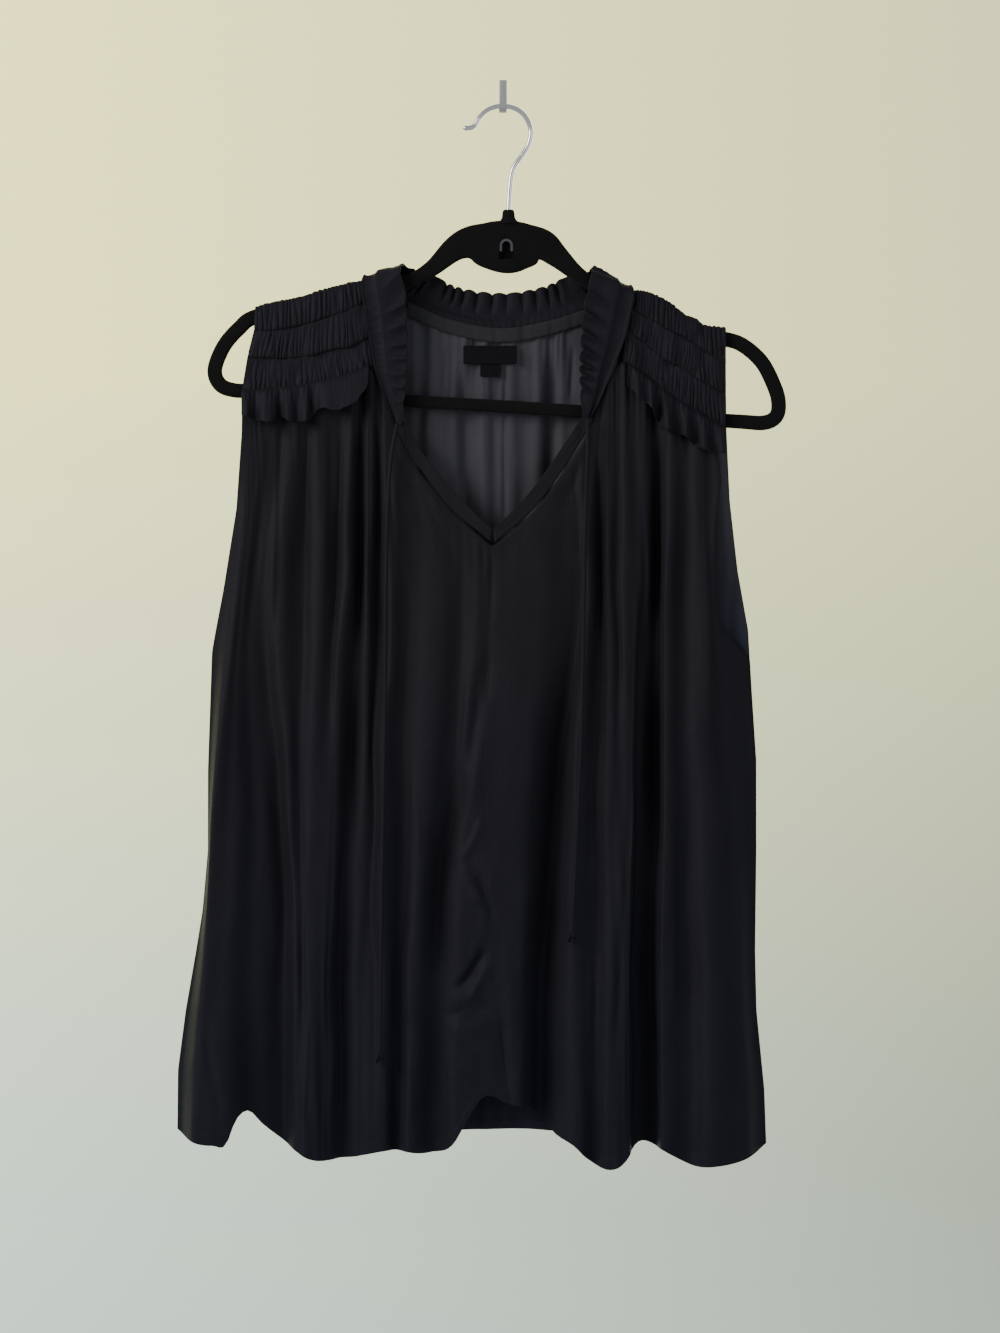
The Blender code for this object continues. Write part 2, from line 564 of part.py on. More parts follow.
def yoke_grid(stitching):
    """Middle points and relief of a smocked yoke, front seam to back seam."""
    across = np.linspace(0, 1, 2 * YOKE_PLEATS + 1)
    rows, relief = [], []
    crest = len(stitching) // 2
    for k, (low, high) in enumerate(zip(stitching, stitching[1:])):
        shares = {crest - 1: TIER_ROWS_TO_CREST, crest: TIER_ROWS_FROM_CREST}.get(k, TIER_ROWS)
        for share in shares:
            rows.append(yoke_row(low, high, share, across, k, crest))
            relief.append(yoke_relief(share, across, k, crest))
    rows.append(yoke_row(low, high, 1.0, across, k, crest))
    relief.append(yoke_relief(0.0, across, k, crest))
    return np.array(rows), np.array(relief)


def along_line(line, across):
    """x and drop along a line of stitching, from 0 at the armhole to 1 at the neck."""
    x = line.arm_x + (line.neck_x - line.arm_x) * across
    bow = 4 * line.sag * across * (1 - across) + line.lean * np.sin(2 * math.pi * across)
    return x, line.arm_drop + (line.neck_drop - line.arm_drop) * across + bow


def yoke_row(low, high, share, across, k, crest):
    """One row across the yoke; the two tiers next to the crest bend over the shoulder."""
    low_x, low_drop = along_line(low, across)
    high_x, high_drop = along_line(high, across)
    if k == crest - 1:
        out = high.out + (low.out - high.out) * math.sqrt(1 - share**CREST_ROUND)
    elif k == crest:
        out = low.out + (high.out - low.out) * math.sqrt(1 - (1 - share) ** CREST_ROUND)
    else:
        out = low.out + (high.out - low.out) * share
    return place(low_x + (high_x - low_x) * share, out, low_drop + (high_drop - low_drop) * share)


def yoke_relief(share, across, k, crest):
    """Pleats puffed between the lines of stitching and flat on them; the crest itself has no line."""
    stitched = share == 0.0 and k != crest
    puff = 0.0 if stitched else 1.0
    tier = k if k < crest else k - 1
    pleats = 0.5 + 0.5 * np.cos(2 * math.pi * YOKE_PLEATS * across + math.pi * (tier % 2))
    ends = np.clip(np.minimum(across, 1 - across) * YOKE_END, 0, 1)
    height = YOKE_SWELL + (YOKE_PUFF - YOKE_SWELL) * pleats
    return puff * height * (YOKE_END_PUFF + (1 - YOKE_END_PUFF) * ends) + YOKE_BASE


def add_yokes(cloth):
    for name, stitching, side in (("yoke_left", LEFT_YOKE, 1), ("yoke_right", RIGHT_YOKE, -1)):
        grid, relief = yoke_grid(stitching)
        add_wall(name, grid, cloth, relief=relief, face_side=side)


def add_shoulder_frills(cloth):
    """A free ruffle under the front of each yoke, over the tops of the gathers."""
    for name, line, free in (
        ("shoulder_frill_left", LEFT_YOKE[0], LEFT_FRILL_EDGE),
        ("shoulder_frill_right", RIGHT_YOKE[0], RIGHT_FRILL_EDGE),
    ):
        inner_end = 1 - FRILL_INSET / abs(line.neck_x - line.arm_x)
        across = np.linspace(0, inner_end, 4 * SHOULDER_FRILL_WAVES + 1)
        if line.arm_x > line.neck_x:
            across = across[::-1]
        xs, seam = along_line(line, across)
        seam = seam - SHOULDER_FRILL_LIFT
        hem = np.interp(xs, [c.x for c in free], [c.drop for c in free])
        turns = np.linspace(0, 1, len(xs))
        phase = 2 * math.pi * SHOULDER_FRILL_WAVES * turns + WAVE_DRIFT * np.sin(DRIFT_TURN * turns)
        wave = SHOULDER_FRILL_WAVE * np.sin(phase)
        rows = []
        for share in SHOULDER_FRILL_ROWS:
            out = SHOULDER_FRILL_OUT + (SHOULDER_FRILL_FLARE + wave) * share
            rows.append(place(xs, out, seam + (hem - seam) * share))
        add_wall(name, np.array(rows), cloth)


def neck_frill_grid():
    """The neck frill's middle points: pleats that open from the seam to the free edge."""
    sections = np.array(NECK_FRILL, float)
    run = np.concatenate([[0], np.cumsum(np.linalg.norm(np.diff(sections[:, :3], axis=0), axis=1))])
    at = np.linspace(0, run[-1], NECK_FRILL_COLUMNS + 1)
    seam_x, seam_drop, seam_out, free_x, free_drop, free_out = (eased(at, run, field) for field in sections.T)
    seam = place(seam_x, seam_out, seam_drop)
    free = place(free_x, free_out, free_drop)
    rows = np.array([seam + (free - seam) * share for share, _ in NECK_FRILL_ROWS])
    normals = grid_normals(rows)
    turns = at / run[-1]
    wave = NECK_FRILL_WAVE * np.sin(2 * math.pi * NECK_FRILL_PLEATS * turns)
    ends = np.clip(np.minimum(turns, 1 - turns) * NECK_FRILL_END, 0, 1)
    for row, normal, (_, height) in zip(rows, normals, NECK_FRILL_ROWS):
        row += normal * (wave * ends * height)[:, None] * MM
    return rows


def add_bands(cloth, left, right):
    """Narrow bound edges down the V."""
    for name, lines, panel in (("neck_band_left", LEFT_BAND, left), ("neck_band_right", RIGHT_BAND, right)):
        grid = []
        for x, drop, inner_x, inner_drop in smooth_route(lines, BAND_STEP):
            out = panel.out_at(x, drop)
            step = np.array([x - inner_x, drop - inner_drop])
            clear = step / np.linalg.norm(step) * (SEAM_GAP + BAND_CLEAR)
            outer = place(x - clear[0], out, drop - clear[1])
            inner = place(inner_x, out + BAND_LIFT, inner_drop)
            grid.append([outer, (outer + inner) / 2, inner])
        add_wall(name, np.array(grid), cloth, thick=BAND_THICK)


def before_gathers(panel, x, drop):
    """How far out the wall of a gathered panel reaches round this place."""
    return max(panel.out_at(x + nudge, drop) for nudge in GATHER_REACH) + CLOTH / 2 + SEAM_GAP


def add_neck_tape(lining, rear):
    """The tape over the seam inside the back neck."""
    grid = []
    for x, upper, lower in smooth_route(NECK_TAPE, TAPE_STEP):
        out = before_gathers(rear, x, max(upper, BACK_LEVELS[0])) + TAPE_CLEAR
        grid.append([place(x, out, upper), place(x, out, lower)])
    add_wall("back_neck_tape", np.array(grid), lining, thick=TAPE_THICK)


def add_labels(woven, rear):
    """The bare label and its size tab on the inside of the back, under the neck tape."""
    for name, x, drop, wide, tall in (
        ("label", LABEL_X, LABEL_DROP, LABEL_WIDE, LABEL_TALL),
        ("size_tab", TAB_X, TAB_DROP, TAB_WIDE, TAB_TALL),
    ):
        xs = np.linspace(x - wide / 2, x + wide / 2, round(wide / LABEL_COLUMN))
        grid = []
        for level in (drop, drop + tall / 2, drop + tall):
            out = np.array([before_gathers(rear, spot, level) for spot in xs]) + LABEL_CLEAR
            grid.append(place(xs, out, level))
        add_wall(name, np.array(grid), woven, thick=LABEL_THICK)


def add_ties(cord):
    """Thin ties from the ends of the neck frill, each ending in a small knot."""
    for side, route in (("left", LEFT_TIE), ("right", RIGHT_TIE)):
        points = [place(x, out, drop) for x, out, drop in smooth_route(route, TIE_STEP)]
        add_tube(f"tie_{side}", points, TIE_WIDTH, cord)
        x, out, drop = route[-1]
        mesh = bpy.data.meshes.new(f"tie_knot_{side}")
        shape = bmesh.new()
        bmesh.ops.create_uvsphere(shape, u_segments=10, v_segments=6, radius=KNOT_RADIUS * MM)
        bmesh.ops.scale(shape, vec=KNOT_SHAPE, verts=shape.verts)
        centre = place(x, out, drop + KNOT_RADIUS * KNOT_SHAPE[-1] + SEAM_GAP)
        bmesh.ops.translate(shape, vec=centre, verts=shape.verts)
        shape.to_mesh(mesh)
        shape.free()
        mesh.shade_smooth()
        add_object(f"tie_knot_{side}", mesh, cord)


def closed_route(rows, count):
    """Evenly spaced stations round a closed smooth curve through the rows."""
    wrapped = np.array([*rows[-2:], *rows, *rows[:3]], float)
    fine = smooth_route(wrapped, LOOP_STEP)
    first = int(np.argmin(np.linalg.norm(fine[: len(fine) // 3] - wrapped[2], axis=1)))
    last = len(fine) // 2 + int(np.argmin(np.linalg.norm(fine[len(fine) // 2:] - wrapped[2], axis=1)))
    loop = fine[first:last]
    steps = np.diff(loop[:, :2], axis=0)
    turn = np.abs(np.diff(np.unwrap(np.arctan2(steps[:, 1], steps[:, 0])), append=0, axis=0))
    turn[-1] = 0.0
    run = np.concatenate([[0], np.cumsum(np.linalg.norm(steps, axis=1) + BEND_WEIGHT * turn)])
    at = np.linspace(0, run[-1], count, endpoint=False)
    return np.stack([np.interp(at, run, loop[:, axis]) for axis in range(loop.shape[1])], axis=-1)


def hanger_body():
    """The hanger's frame: a closed sweep of a flat, round-edged section."""
    stations = closed_route(HANGER_FRAME, HANGER_STATIONS)
    shape = bmesh.new()
    rings = []
    for k, (x, drop, half_width) in enumerate(stations):
        before, after = stations[k - 1][:2], stations[(k + 1) % len(stations)][:2]
        along = (after - before) / np.linalg.norm(after - before)
        side = np.array([along[1], -along[0]])
        ring = []
        for hand, at_edge, deep in HANGER_SECTION:
            reach = side * hand * (half_width if at_edge else half_width - CORNER_WIDTH)
            spot = place(x + reach[0], HANGER_OUT + deep * HANGER_HALF_DEPTH, drop + reach[1])
            ring.append(shape.verts.new(spot))
        rings.append(ring)
    for ring, following in zip(rings, rings[1:] + rings[:1]):
        for m in range(len(ring)):
            n = (m + 1) % len(ring)
            shape.faces.new((ring[m], ring[n], following[n], following[m]))
    bmesh.ops.recalc_face_normals(shape, faces=shape.faces)
    mesh = bpy.data.meshes.new("hanger")
    shape.to_mesh(mesh)
    shape.free()
    return mesh


def helper(name, mesh):
    made = bpy.data.objects.new(name, mesh)
    bpy.context.scene.collection.objects.link(made)
    made.hide_render = True
    made.display_type = "WIRE"
    return made


def prism(outline_points, near, far, name):
    """A closed prism on an outline of (x, drop), between two distances out."""
    shape = bmesh.new()
    ends = [[shape.verts.new(place(x, out, drop)) for x, drop in outline_points] for out in (near, far)]
    shape.faces.new(ends[0])
    shape.faces.new(ends[1][::-1])
    for k in range(len(outline_points)):
        m = (k + 1) % len(outline_points)
        shape.faces.new((ends[0][k], ends[0][m], ends[1][m], ends[1][k]))
    bmesh.ops.recalc_face_normals(shape, faces=shape.faces)
    mesh = bpy.data.meshes.new(name)
    shape.to_mesh(mesh)
    shape.free()
    return mesh


def arch(half_width, top, foot, sides=8):
    """An arched outline round the hanger's window."""
    spots = [(WINDOW_X - half_width, foot)]
    for k in range(sides + 1):
        angle = math.pi * k / sides
        spots.append((WINDOW_X - half_width * math.cos(angle), top + half_width * (1 - math.sin(angle))))
    return [*spots, (WINDOW_X + half_width, foot)]


def add_hanger(flock, chrome):
    hanger = add_object("hanger", hanger_body(), flock)
    collar = bpy.data.meshes.new("collar")
    shape = bmesh.new()
    bmesh.ops.create_cone(
        shape, cap_ends=True, segments=14, radius1=COLLAR_RADIUS * COLLAR_FLARE * MM,
        radius2=COLLAR_RADIUS * MM, depth=(COLLAR_FOOT - COLLAR_TOP) * MM,
    )
    bmesh.ops.scale(shape, vec=(1, COLLAR_DEPTH, 1), verts=shape.verts)
    middle = place(HOOK_ROUTE[-1][0], HANGER_OUT, (COLLAR_TOP + COLLAR_FOOT) / 2)
    bmesh.ops.translate(shape, vec=middle, verts=shape.verts)
    shape.to_mesh(collar)
    shape.free()
    join = hanger.modifiers.new("collar", "BOOLEAN")
    join.operation = "UNION"
    join.object = helper("collar", collar)
    floor = HANGER_OUT - HANGER_HALF_DEPTH + WINDOW_FLOOR
    opening = arch(WINDOW_WIDTH / 2, WINDOW_TOP, WINDOW_FOOT)
    cut = hanger.modifiers.new("window", "BOOLEAN")
    cut.operation = "DIFFERENCE"
    before = HANGER_OUT + HANGER_HALF_DEPTH + CUTTER_REACH
    cut.object = helper("window", prism(opening, floor, before, "window"))
    rim_outer = arch(WINDOW_WIDTH / 2 - SEAM_GAP, WINDOW_TOP + SEAM_GAP, BUSH_FOOT)
    rim_inner = arch(WINDOW_WIDTH / 2 - BUSH_RIM, WINDOW_TOP + BUSH_RIM, BUSH_FOOT)
    near, far = floor + SEAM_GAP, HANGER_OUT + HANGER_HALF_DEPTH - BUSH_FACE
    add_object("swivel_bush", prism(rim_outer + rim_inner[::-1], near, far, "swivel_bush"), chrome)
    points = [place(x, HANGER_OUT, drop) for x, drop in smooth_route(HOOK_ROUTE, HOOK_STEP)]
    add_tube("hanger_hook", points, HOOK_WIRE, chrome)


def add_wall_hook(steel):
    """A bent strap: flat against the wall, forward under the hanger's wire and up to a lip."""
    points = smooth_route(STRAP_ROUTE, STRAP_STEP)
    sides = [place(x, points[:, 0], points[:, 1]) for x in (-STRAP_WIDTH / 2, STRAP_WIDTH / 2)]
    grid = np.stack(sides, axis=1)
    straight = (points[:, 0] < STRAP_FLAT_OUT) & (points[:, 1] < STRAP_FLAT_DROP)
    grid[straight, :, 1] = -STRAP_THICK / 2 * MM
    add_wall("wall_hook", grid, steel, thick=STRAP_THICK)


def build():
    for old in list(bpy.data.objects):
        bpy.data.objects.remove(old)
    cloth = material("black satin", (0.018, 0.018, 0.021), 0.5)
    lining = material("grey neck tape", (0.10, 0.10, 0.115), 0.7)
    woven = material("label weave", (0.02, 0.02, 0.025), 0.6)
    flock = material("black flock", (0.008, 0.008, 0.009), 0.95)
    chrome = material("chrome", (0.75, 0.75, 0.73), 0.15, 1.0)
    left, right, rear = front_left(), front_right(), back()
    add_panels(cloth, left, right, rear)
    add_yokes(cloth)
    add_shoulder_frills(cloth)
    add_wall("neck_frill", neck_frill_grid(), cloth)
    add_bands(cloth, left, right)
    add_neck_tape(lining, rear)
    add_labels(woven, rear)
    add_ties(cloth)
    add_hanger(flock, chrome)
    add_wall_hook(chrome)


build()
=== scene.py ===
# %% [markdown]
# # A black satin blouse on its hanger
#
# This lesson dresses a sleeveless blouse that hangs on a slim flocked hanger. The solids that carry it
# are loaded first, as a fixed frame. Each cell after that makes one piece or one finish.

# %% Load the frame
import math
from collections import namedtuple

import bmesh
import bpy
import numpy as np
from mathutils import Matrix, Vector


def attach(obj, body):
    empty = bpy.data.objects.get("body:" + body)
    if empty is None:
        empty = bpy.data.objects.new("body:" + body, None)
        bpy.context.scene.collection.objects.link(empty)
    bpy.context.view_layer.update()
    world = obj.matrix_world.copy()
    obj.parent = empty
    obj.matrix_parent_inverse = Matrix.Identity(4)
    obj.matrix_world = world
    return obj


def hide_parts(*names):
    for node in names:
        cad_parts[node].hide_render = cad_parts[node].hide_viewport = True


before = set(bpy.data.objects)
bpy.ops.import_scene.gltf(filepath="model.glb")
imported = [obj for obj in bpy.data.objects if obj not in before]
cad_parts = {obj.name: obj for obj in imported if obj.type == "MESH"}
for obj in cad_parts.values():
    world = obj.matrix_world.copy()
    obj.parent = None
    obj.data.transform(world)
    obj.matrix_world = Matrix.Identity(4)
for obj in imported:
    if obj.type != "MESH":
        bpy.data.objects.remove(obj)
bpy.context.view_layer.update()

# %% [markdown]
# The blouse is measured as a dressmaker would: how far to the right of the wall hook, how far out from
# the wall, and how far down. These become the model's X, -Y and -Z. Millimetres are easier to read than
# metres, so they are kept until the last moment.

# %% The garment's own terms
MM = 0.001


def place(x, out, drop):
    """Points of the garment's terms, in metres in the model's frame."""
    return np.stack(np.broadcast_arrays(x, -np.asarray(out), -np.asarray(drop)), axis=-1) * MM


print("the top of the shoulder is at", place(-109, 16, 140))

# %% [markdown]
# The photograph was taken straight on, at the height of the blouse's middle. One of its pixels covers
# 0.769 mm of the blouse, which the hanger's usual width of 445 mm gives. A long lens from four and a half
# metres away fits that scale, and keeps the near hem and the far hanger at nearly the same size.

# %% The camera
PHOTO_WIDE, PHOTO_TALL = 1000, 1333
MM_PER_PIXEL = 0.769
HOOK_PIXEL = (503, 92)
FRONT_OUT_OF_WALL = 24.0
CAMERA_REACH = 4500.0
SENSOR = 36.0

camera_data = bpy.data.cameras.new("camera")
camera_data.sensor_width = SENSOR
camera_data.lens = SENSOR / 2 * CAMERA_REACH / (PHOTO_TALL / 2 * MM_PER_PIXEL)
camera = bpy.data.objects.new("camera", camera_data)
bpy.context.scene.collection.objects.link(camera)
camera.location = place(
    (PHOTO_WIDE / 2 - HOOK_PIXEL[0]) * MM_PER_PIXEL,
    FRONT_OUT_OF_WALL + CAMERA_REACH,
    (PHOTO_TALL / 2 - HOOK_PIXEL[1]) * MM_PER_PIXEL,
)
camera.rotation_euler = (math.pi / 2, 0, 0)
bpy.context.scene.camera = camera
print("lens", round(camera_data.lens, 1), "mm at", tuple(camera.location))

# %% [markdown]
# A smooth line through a few given points serves the ties, the hanger and the hooks. A
# Catmull-Rom curve passes through each point, so a point is placed where the real thing goes.

# %% Smooth routes and new pieces
SPAN_STEPS = 24
TUBE_SIDES = 4


def run_along(points):
    """The distance along a line to each of its points."""
    return np.concatenate([[0], np.cumsum(np.linalg.norm(np.diff(points, axis=0), axis=1))])


def smooth_route(points, step):
    """Points every `step` along a Catmull-Rom curve through the route's points."""
    route = np.asarray(points, float)
    ends = np.vstack([2 * route[0] - route[1], route, 2 * route[-1] - route[-2]])
    t = np.linspace(0, 1, SPAN_STEPS, endpoint=False)[:, None]
    fine = []
    for a, b, c, d in zip(ends, ends[1:], ends[2:], ends[3:]):
        curved = (2 * a - 5 * b + 4 * c - d) * t**2 + (3 * b - a - 3 * c + d) * t**3
        fine.append(0.5 * (2 * b + (c - a) * t + curved))
    fine = np.vstack([*fine, route[-1:]])
    run = run_along(fine)
    at = np.linspace(0, run[-1], max(2, round(run[-1] / step) + 1))
    return np.stack([np.interp(at, run, fine[:, axis]) for axis in range(route.shape[1])], axis=-1)


def dressed(piece, finishes, stands_for=()):
    """Gives a piece its finishes and its place on the frame, and hides the solids that it stands for."""
    for finish in finishes:
        piece.data.materials.append(finish)
    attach(piece, "root")
    if stands_for:
        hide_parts(*stands_for)
    return piece


def new_object(name, data):
    made = bpy.data.objects.new(name, data)
    bpy.context.scene.collection.objects.link(made)
    return made


def tube(name, points, width):
    """A round tube on points in metres, with closed ends."""
    curve = bpy.data.curves.new(name, "CURVE")
    curve.dimensions = "3D"
    curve.bevel_depth = width / 2 * MM
    curve.bevel_resolution = TUBE_SIDES
    curve.use_fill_caps = True
    spline = curve.splines.new("POLY")
    spline.points.add(len(points) - 1)
    for spot, point in zip(spline.points, points):
        spot.co = (*point, 1)
    spline.use_smooth = True
    return new_object(name, curve)


# %% [markdown]
# ## Finishes
#
# A finish is a small network of nodes. Written as plain sums it is easier to read than as boxes and
# wires, so `Value` wraps one socket and turns +, - and * into Math nodes, and `Finish` makes any other
# node from its type, its settings and what goes into its sockets.

# %% Sums of sockets
class Value:
    """A socket that gives a number or a colour, usable in sums."""

    def __init__(self, finish, socket):
        self.finish, self.socket = finish, socket

    def worked(self, operation, *numbers):
        return self.finish.node("ShaderNodeMath", {"operation": operation}, dict(enumerate(numbers)))

    def __add__(self, other):
        return self.worked("ADD", self, other)

    def __sub__(self, other):
        return self.worked("SUBTRACT", self, other)

    def __rsub__(self, other):
        return self.worked("SUBTRACT", other, self)

    def __mul__(self, other):
        return self.worked("MULTIPLY", self, other)

    __radd__, __rmul__ = __add__, __mul__

    def sine(self):
        return self.worked("SINE", self)

    def size(self):
        return self.worked("ABSOLUTE", self)


class Finish:
    """One material and its nodes."""

    def __init__(self, name):
        self.material = bpy.data.materials.new(name)
        self.material.use_nodes = True
        self.tree = self.material.node_tree
        self.shader = self.tree.nodes["Principled BSDF"]

    def feed(self, socket, value):
        """Sets a socket to a plain value, or links it to another node's socket."""
        if isinstance(value, Value):
            self.tree.links.new(value.socket, socket)
        elif hasattr(value, "__len__") and socket.type == "RGBA":
            socket.default_value = (*value, 1)
        else:
            socket.default_value = value

    def node(self, kind, settings=None, sockets=None, gives=0):
        """Any node: its settings are set first, then the values or links of its sockets."""
        made = self.tree.nodes.new(kind)
        for name, value in (settings or {}).items():
            setattr(made, name, value)
        for name, value in (sockets or {}).items():
            self.feed(made.inputs[name], value)
        return Value(self, made.outputs[gives])

    def shade(self, **sockets):
        """Sets the shader's own sockets; an underscore stands for a space."""
        for name, value in sockets.items():
            self.feed(self.shader.inputs[name.replace("_", " ")], value)
        return self.material

    def place_in_cloth(self):
        """Where a point is on the model in metres, as one socket and as its x, y and z."""
        spot = self.node("ShaderNodeTexCoord", gives=3)
        parts = self.node("ShaderNodeSeparateXYZ", sockets={0: spot})
        return spot, [Value(self, output) for output in parts.socket.node.outputs]

    def noise(self, spot, scale, detail=2.0, roughness=0.5):
        sockets = {"Vector": spot, "Scale": scale, "Detail": detail, "Roughness": roughness}
        return self.node("ShaderNodeTexNoise", sockets=sockets)

    def stretched(self, spot, scale):
        """The same place with its axes scaled, so that a noise runs long in one direction."""
        return self.node("ShaderNodeVectorMath", {"operation": "MULTIPLY"}, {0: spot, 1: scale})

    def mixed(self, share, first, second, blend="MIX"):
        """A colour between two colours, or the two blended in another way."""
        settings = {"data_type": "RGBA", "blend_type": blend}
        return self.node("ShaderNodeMix", settings, {"Factor": share, 6: first, 7: second}, gives=2)

    def clamped(self, value):
        return self.node("ShaderNodeClamp", sockets={"Value": value})

    def bumped(self, height, depth):
        return self.node("ShaderNodeBump", sockets={"Distance": depth, "Height": height})


SUMS = [name for name in vars(Value) if name.endswith(("add__", "sub__", "mul__"))]
print("sums that can be written:", SUMS)

# %% [markdown]
# Satin has long floats of thread on its right side, so it glows softly along a fold and stays deep
# black between. The nodes give it a mottling a few centimetres wide, streaks that run down the cloth,
# the small dents of handling, and the weave itself, a third of a millimetre across.

# %% Satin
WEAVE_PITCH = 0.00034


def satin(name, dark, light, rough, glow, shine=0.05, fall=(2.4, 0.95), painted_cool_shade=(0.82, 0.91, 1.04)):
    """Black satin whose colour turns bluer and darker down the blouse as painted shade, by the slope and the
    start that `fall` gives.
    """
    made = Finish(name)
    spot, (x, y, z) = made.place_in_cloth()
    mottle = made.noise(spot, 34.0, 3.0)
    streak = made.noise(made.stretched(spot, (520.0, 520.0, 18.0)), 1.0)
    turn = 2 * math.pi / WEAVE_PITCH
    weave = ((x + y) * turn).sine() * (z * turn * 0.5).sine()
    crinkle = made.noise(spot, 620.0)
    handling = made.noise(spot, 105.0, 3.0)
    height = weave * 0.12 + crinkle * 0.5 + streak * 0.5 + handling * 3.2
    tone = made.mixed(mottle * 0.6 + streak * 0.4, dark, light)
    # painted shade: below a drop that `fall` sets, the colour is multiplied by a bluer, darker tint, for the
    # dim, cool light low on the blouse
    low = made.clamped(z * -fall[0] - fall[1])
    return made.shade(
        Base_Color=made.mixed(low, tone, painted_cool_shade, "MULTIPLY"),
        Roughness=rough + (mottle - 0.5) * 0.16 + (streak - 0.5) * 0.1,
        Specular_IOR_Level=shine,
        Specular_Tint=(0.86, 0.88, 1.0),
        Sheen_Weight=glow,
        Sheen_Roughness=0.42,
        Sheen_Tint=(0.72, 0.74, 0.82),
        Normal=made.bumped(height, 0.00016),
    )


black_satin = satin("black_satin", (0.0072, 0.0067, 0.0084), (0.0112, 0.0105, 0.0128), 0.56, 0.01)
# The wrong side is really duller and lighter, and its base is raised further as painted light, for light
# showing through the thin back; its steep `fall` and strong tint darken it between about 320 and 430 mm down
# as painted shade.
wrong_side_and_painted_light = satin(
    "satin_wrong_side_and_painted_light", (0.025, 0.0245, 0.029), (0.041, 0.040, 0.047), 0.62, 0.04, fall=(9.0, 2.9),
    painted_cool_shade=(0.50, 0.54, 0.68),
)
frill_satin = satin("frill_satin", (0.0066, 0.0060, 0.0080), (0.0116, 0.0106, 0.0136), 0.58, 0.01)
tie_satin = satin("tie_satin", (0.0064, 0.0060, 0.0074), (0.0106, 0.0100, 0.0122), 0.56, 0.01, 0.06)
print("satin finishes:", black_satin.name, wrong_side_and_painted_light.name, frill_satin.name, tie_satin.name)

# %% [markdown]
# The other cloths are plainer. The neck tape is a bias strip of the same satin with its dull side out,
# the label is a tight smooth weave, and the thread is matt.

# %% Tape, label and thread
def plain_weave(name, dark, light, rough, pitch, depth, shine=0.15, glow=0.03):
    made = Finish(name)
    spot, (x, _, z) = made.place_in_cloth()
    turn = 2 * math.pi / pitch
    weave = ((x + z) * turn).sine() * ((x - z) * turn).sine()
    blotch = made.noise(spot, 160.0)
    return made.shade(
        Base_Color=made.mixed(blotch * 0.7 + weave * 0.15 + 0.15, dark, light),
        Roughness=rough + (blotch - 0.5) * 0.2,
        Specular_IOR_Level=shine,
        Sheen_Weight=glow,
        Normal=made.bumped(weave * 0.6 + blotch, depth),
    )


neck_tape = plain_weave("neck_tape_weave", (0.008, 0.008, 0.010), (0.016, 0.016, 0.019), 0.6, 0.0006, 0.0001)
label_weave = plain_weave(
    "label_weave", (0.0030, 0.0030, 0.0040), (0.0060, 0.0060, 0.0074), 0.6, 0.0005, 0.00008,
    shine=0.04, glow=0.0,
)
thread = plain_weave("sewing_thread", (0.003, 0.003, 0.0035), (0.005, 0.005, 0.006), 0.8, 0.0003, 0.00005)
print("plain weaves:", neck_tape.name, label_weave.name, thread.name)

# %% [markdown]
# Flock is short fibre glued to plastic. It drinks nearly all light, except at a glancing angle, where
# the fibre tips catch it: that is what sheen does. Chrome and steel need little more than a roughness
# that varies with handling, and fine scratches along the strap.

# %% Flock, chrome and steel
def flocking():
    made = Finish("black_flock")
    spot, _ = made.place_in_cloth()
    fibres = made.noise(spot, 5200.0, 2.0, 0.7)
    wear = made.noise(spot, 55.0, 4.0, 0.6)
    return made.shade(
        Base_Color=made.mixed(wear, (0.0012, 0.0012, 0.0014), (0.0042, 0.0042, 0.0046)),
        Roughness=0.92 + (fibres - 0.5) * 0.12,
        Specular_IOR_Level=0.12,
        Sheen_Weight=0.05,
        Sheen_Roughness=0.3,
        Sheen_Tint=(0.7, 0.72, 0.8),
        Normal=made.bumped(fibres * 0.7 + wear * 0.3, 0.00035),
    )


def metal(name, dull, bright, rough, stretch):
    made = Finish(name)
    spot, _ = made.place_in_cloth()
    scratch = made.noise(made.stretched(spot, stretch), 1.0, 3.0, 0.6)
    cloud = made.noise(spot, 90.0, 3.0)
    return made.shade(
        Base_Color=made.mixed(cloud * 0.6 + scratch * 0.4, dull, bright),
        Metallic=1.0,
        Roughness=rough + scratch * rough * 0.8 + cloud * rough * 0.5,
        Normal=made.bumped(scratch, 0.00002),
    )


black_flock = flocking()
chrome = metal("bright_chrome", (0.42, 0.42, 0.43), (0.60, 0.60, 0.60), 0.10, (900.0, 900.0, 900.0))
# The bush's chrome is darkened as painted shade, for the shadow deep in the hanger's window.
shaded_chrome = metal("shaded_chrome", (0.06, 0.06, 0.065), (0.11, 0.11, 0.12), 0.26, (900.0, 900.0, 900.0))
strap_steel = metal("strap_steel", (0.30, 0.30, 0.30), (0.46, 0.46, 0.45), 0.24, (4000.0, 300.0, 300.0))
print("hard finishes:", black_flock.name, chrome.name, shaded_chrome.name, strap_steel.name)

# %% [markdown]
# ## The ties
#
# Two thin rouleau ties leave the ends of the neck frill and hang down the front, each with a small
# overhand knot at its end. They come first because they are cords: their real length is fixed, and
# everything else has to leave them room.

# %% Ties and their knots
TIE_WIDTH = 3.0
LEFT_TIE = (
    (-81.5, 31.5, 256), (-85, 33.5, 275), (-87.5, 35.5, 300), (-89, 38.5, 340), (-90, 41, 400),
    (-90.5, 44, 480), (-91.8, 47, 560), (-93.2, 50, 650), (-94, 52.5, 738),
)
RIGHT_TIE = (
    (65, 31.5, 252), (65, 33.5, 272), (64, 35.5, 300), (62.5, 38.5, 350), (61.5, 41.5, 420), (60, 44, 490),
    (57, 46.5, 560), (54, 48.5, 620), (52.5, 49.5, 646),
)
KNOT_SIZE = 1.05
KNOT_THREAD = 1.7
KNOT_FALL, KNOT_LONGER = 3.4, 1.15


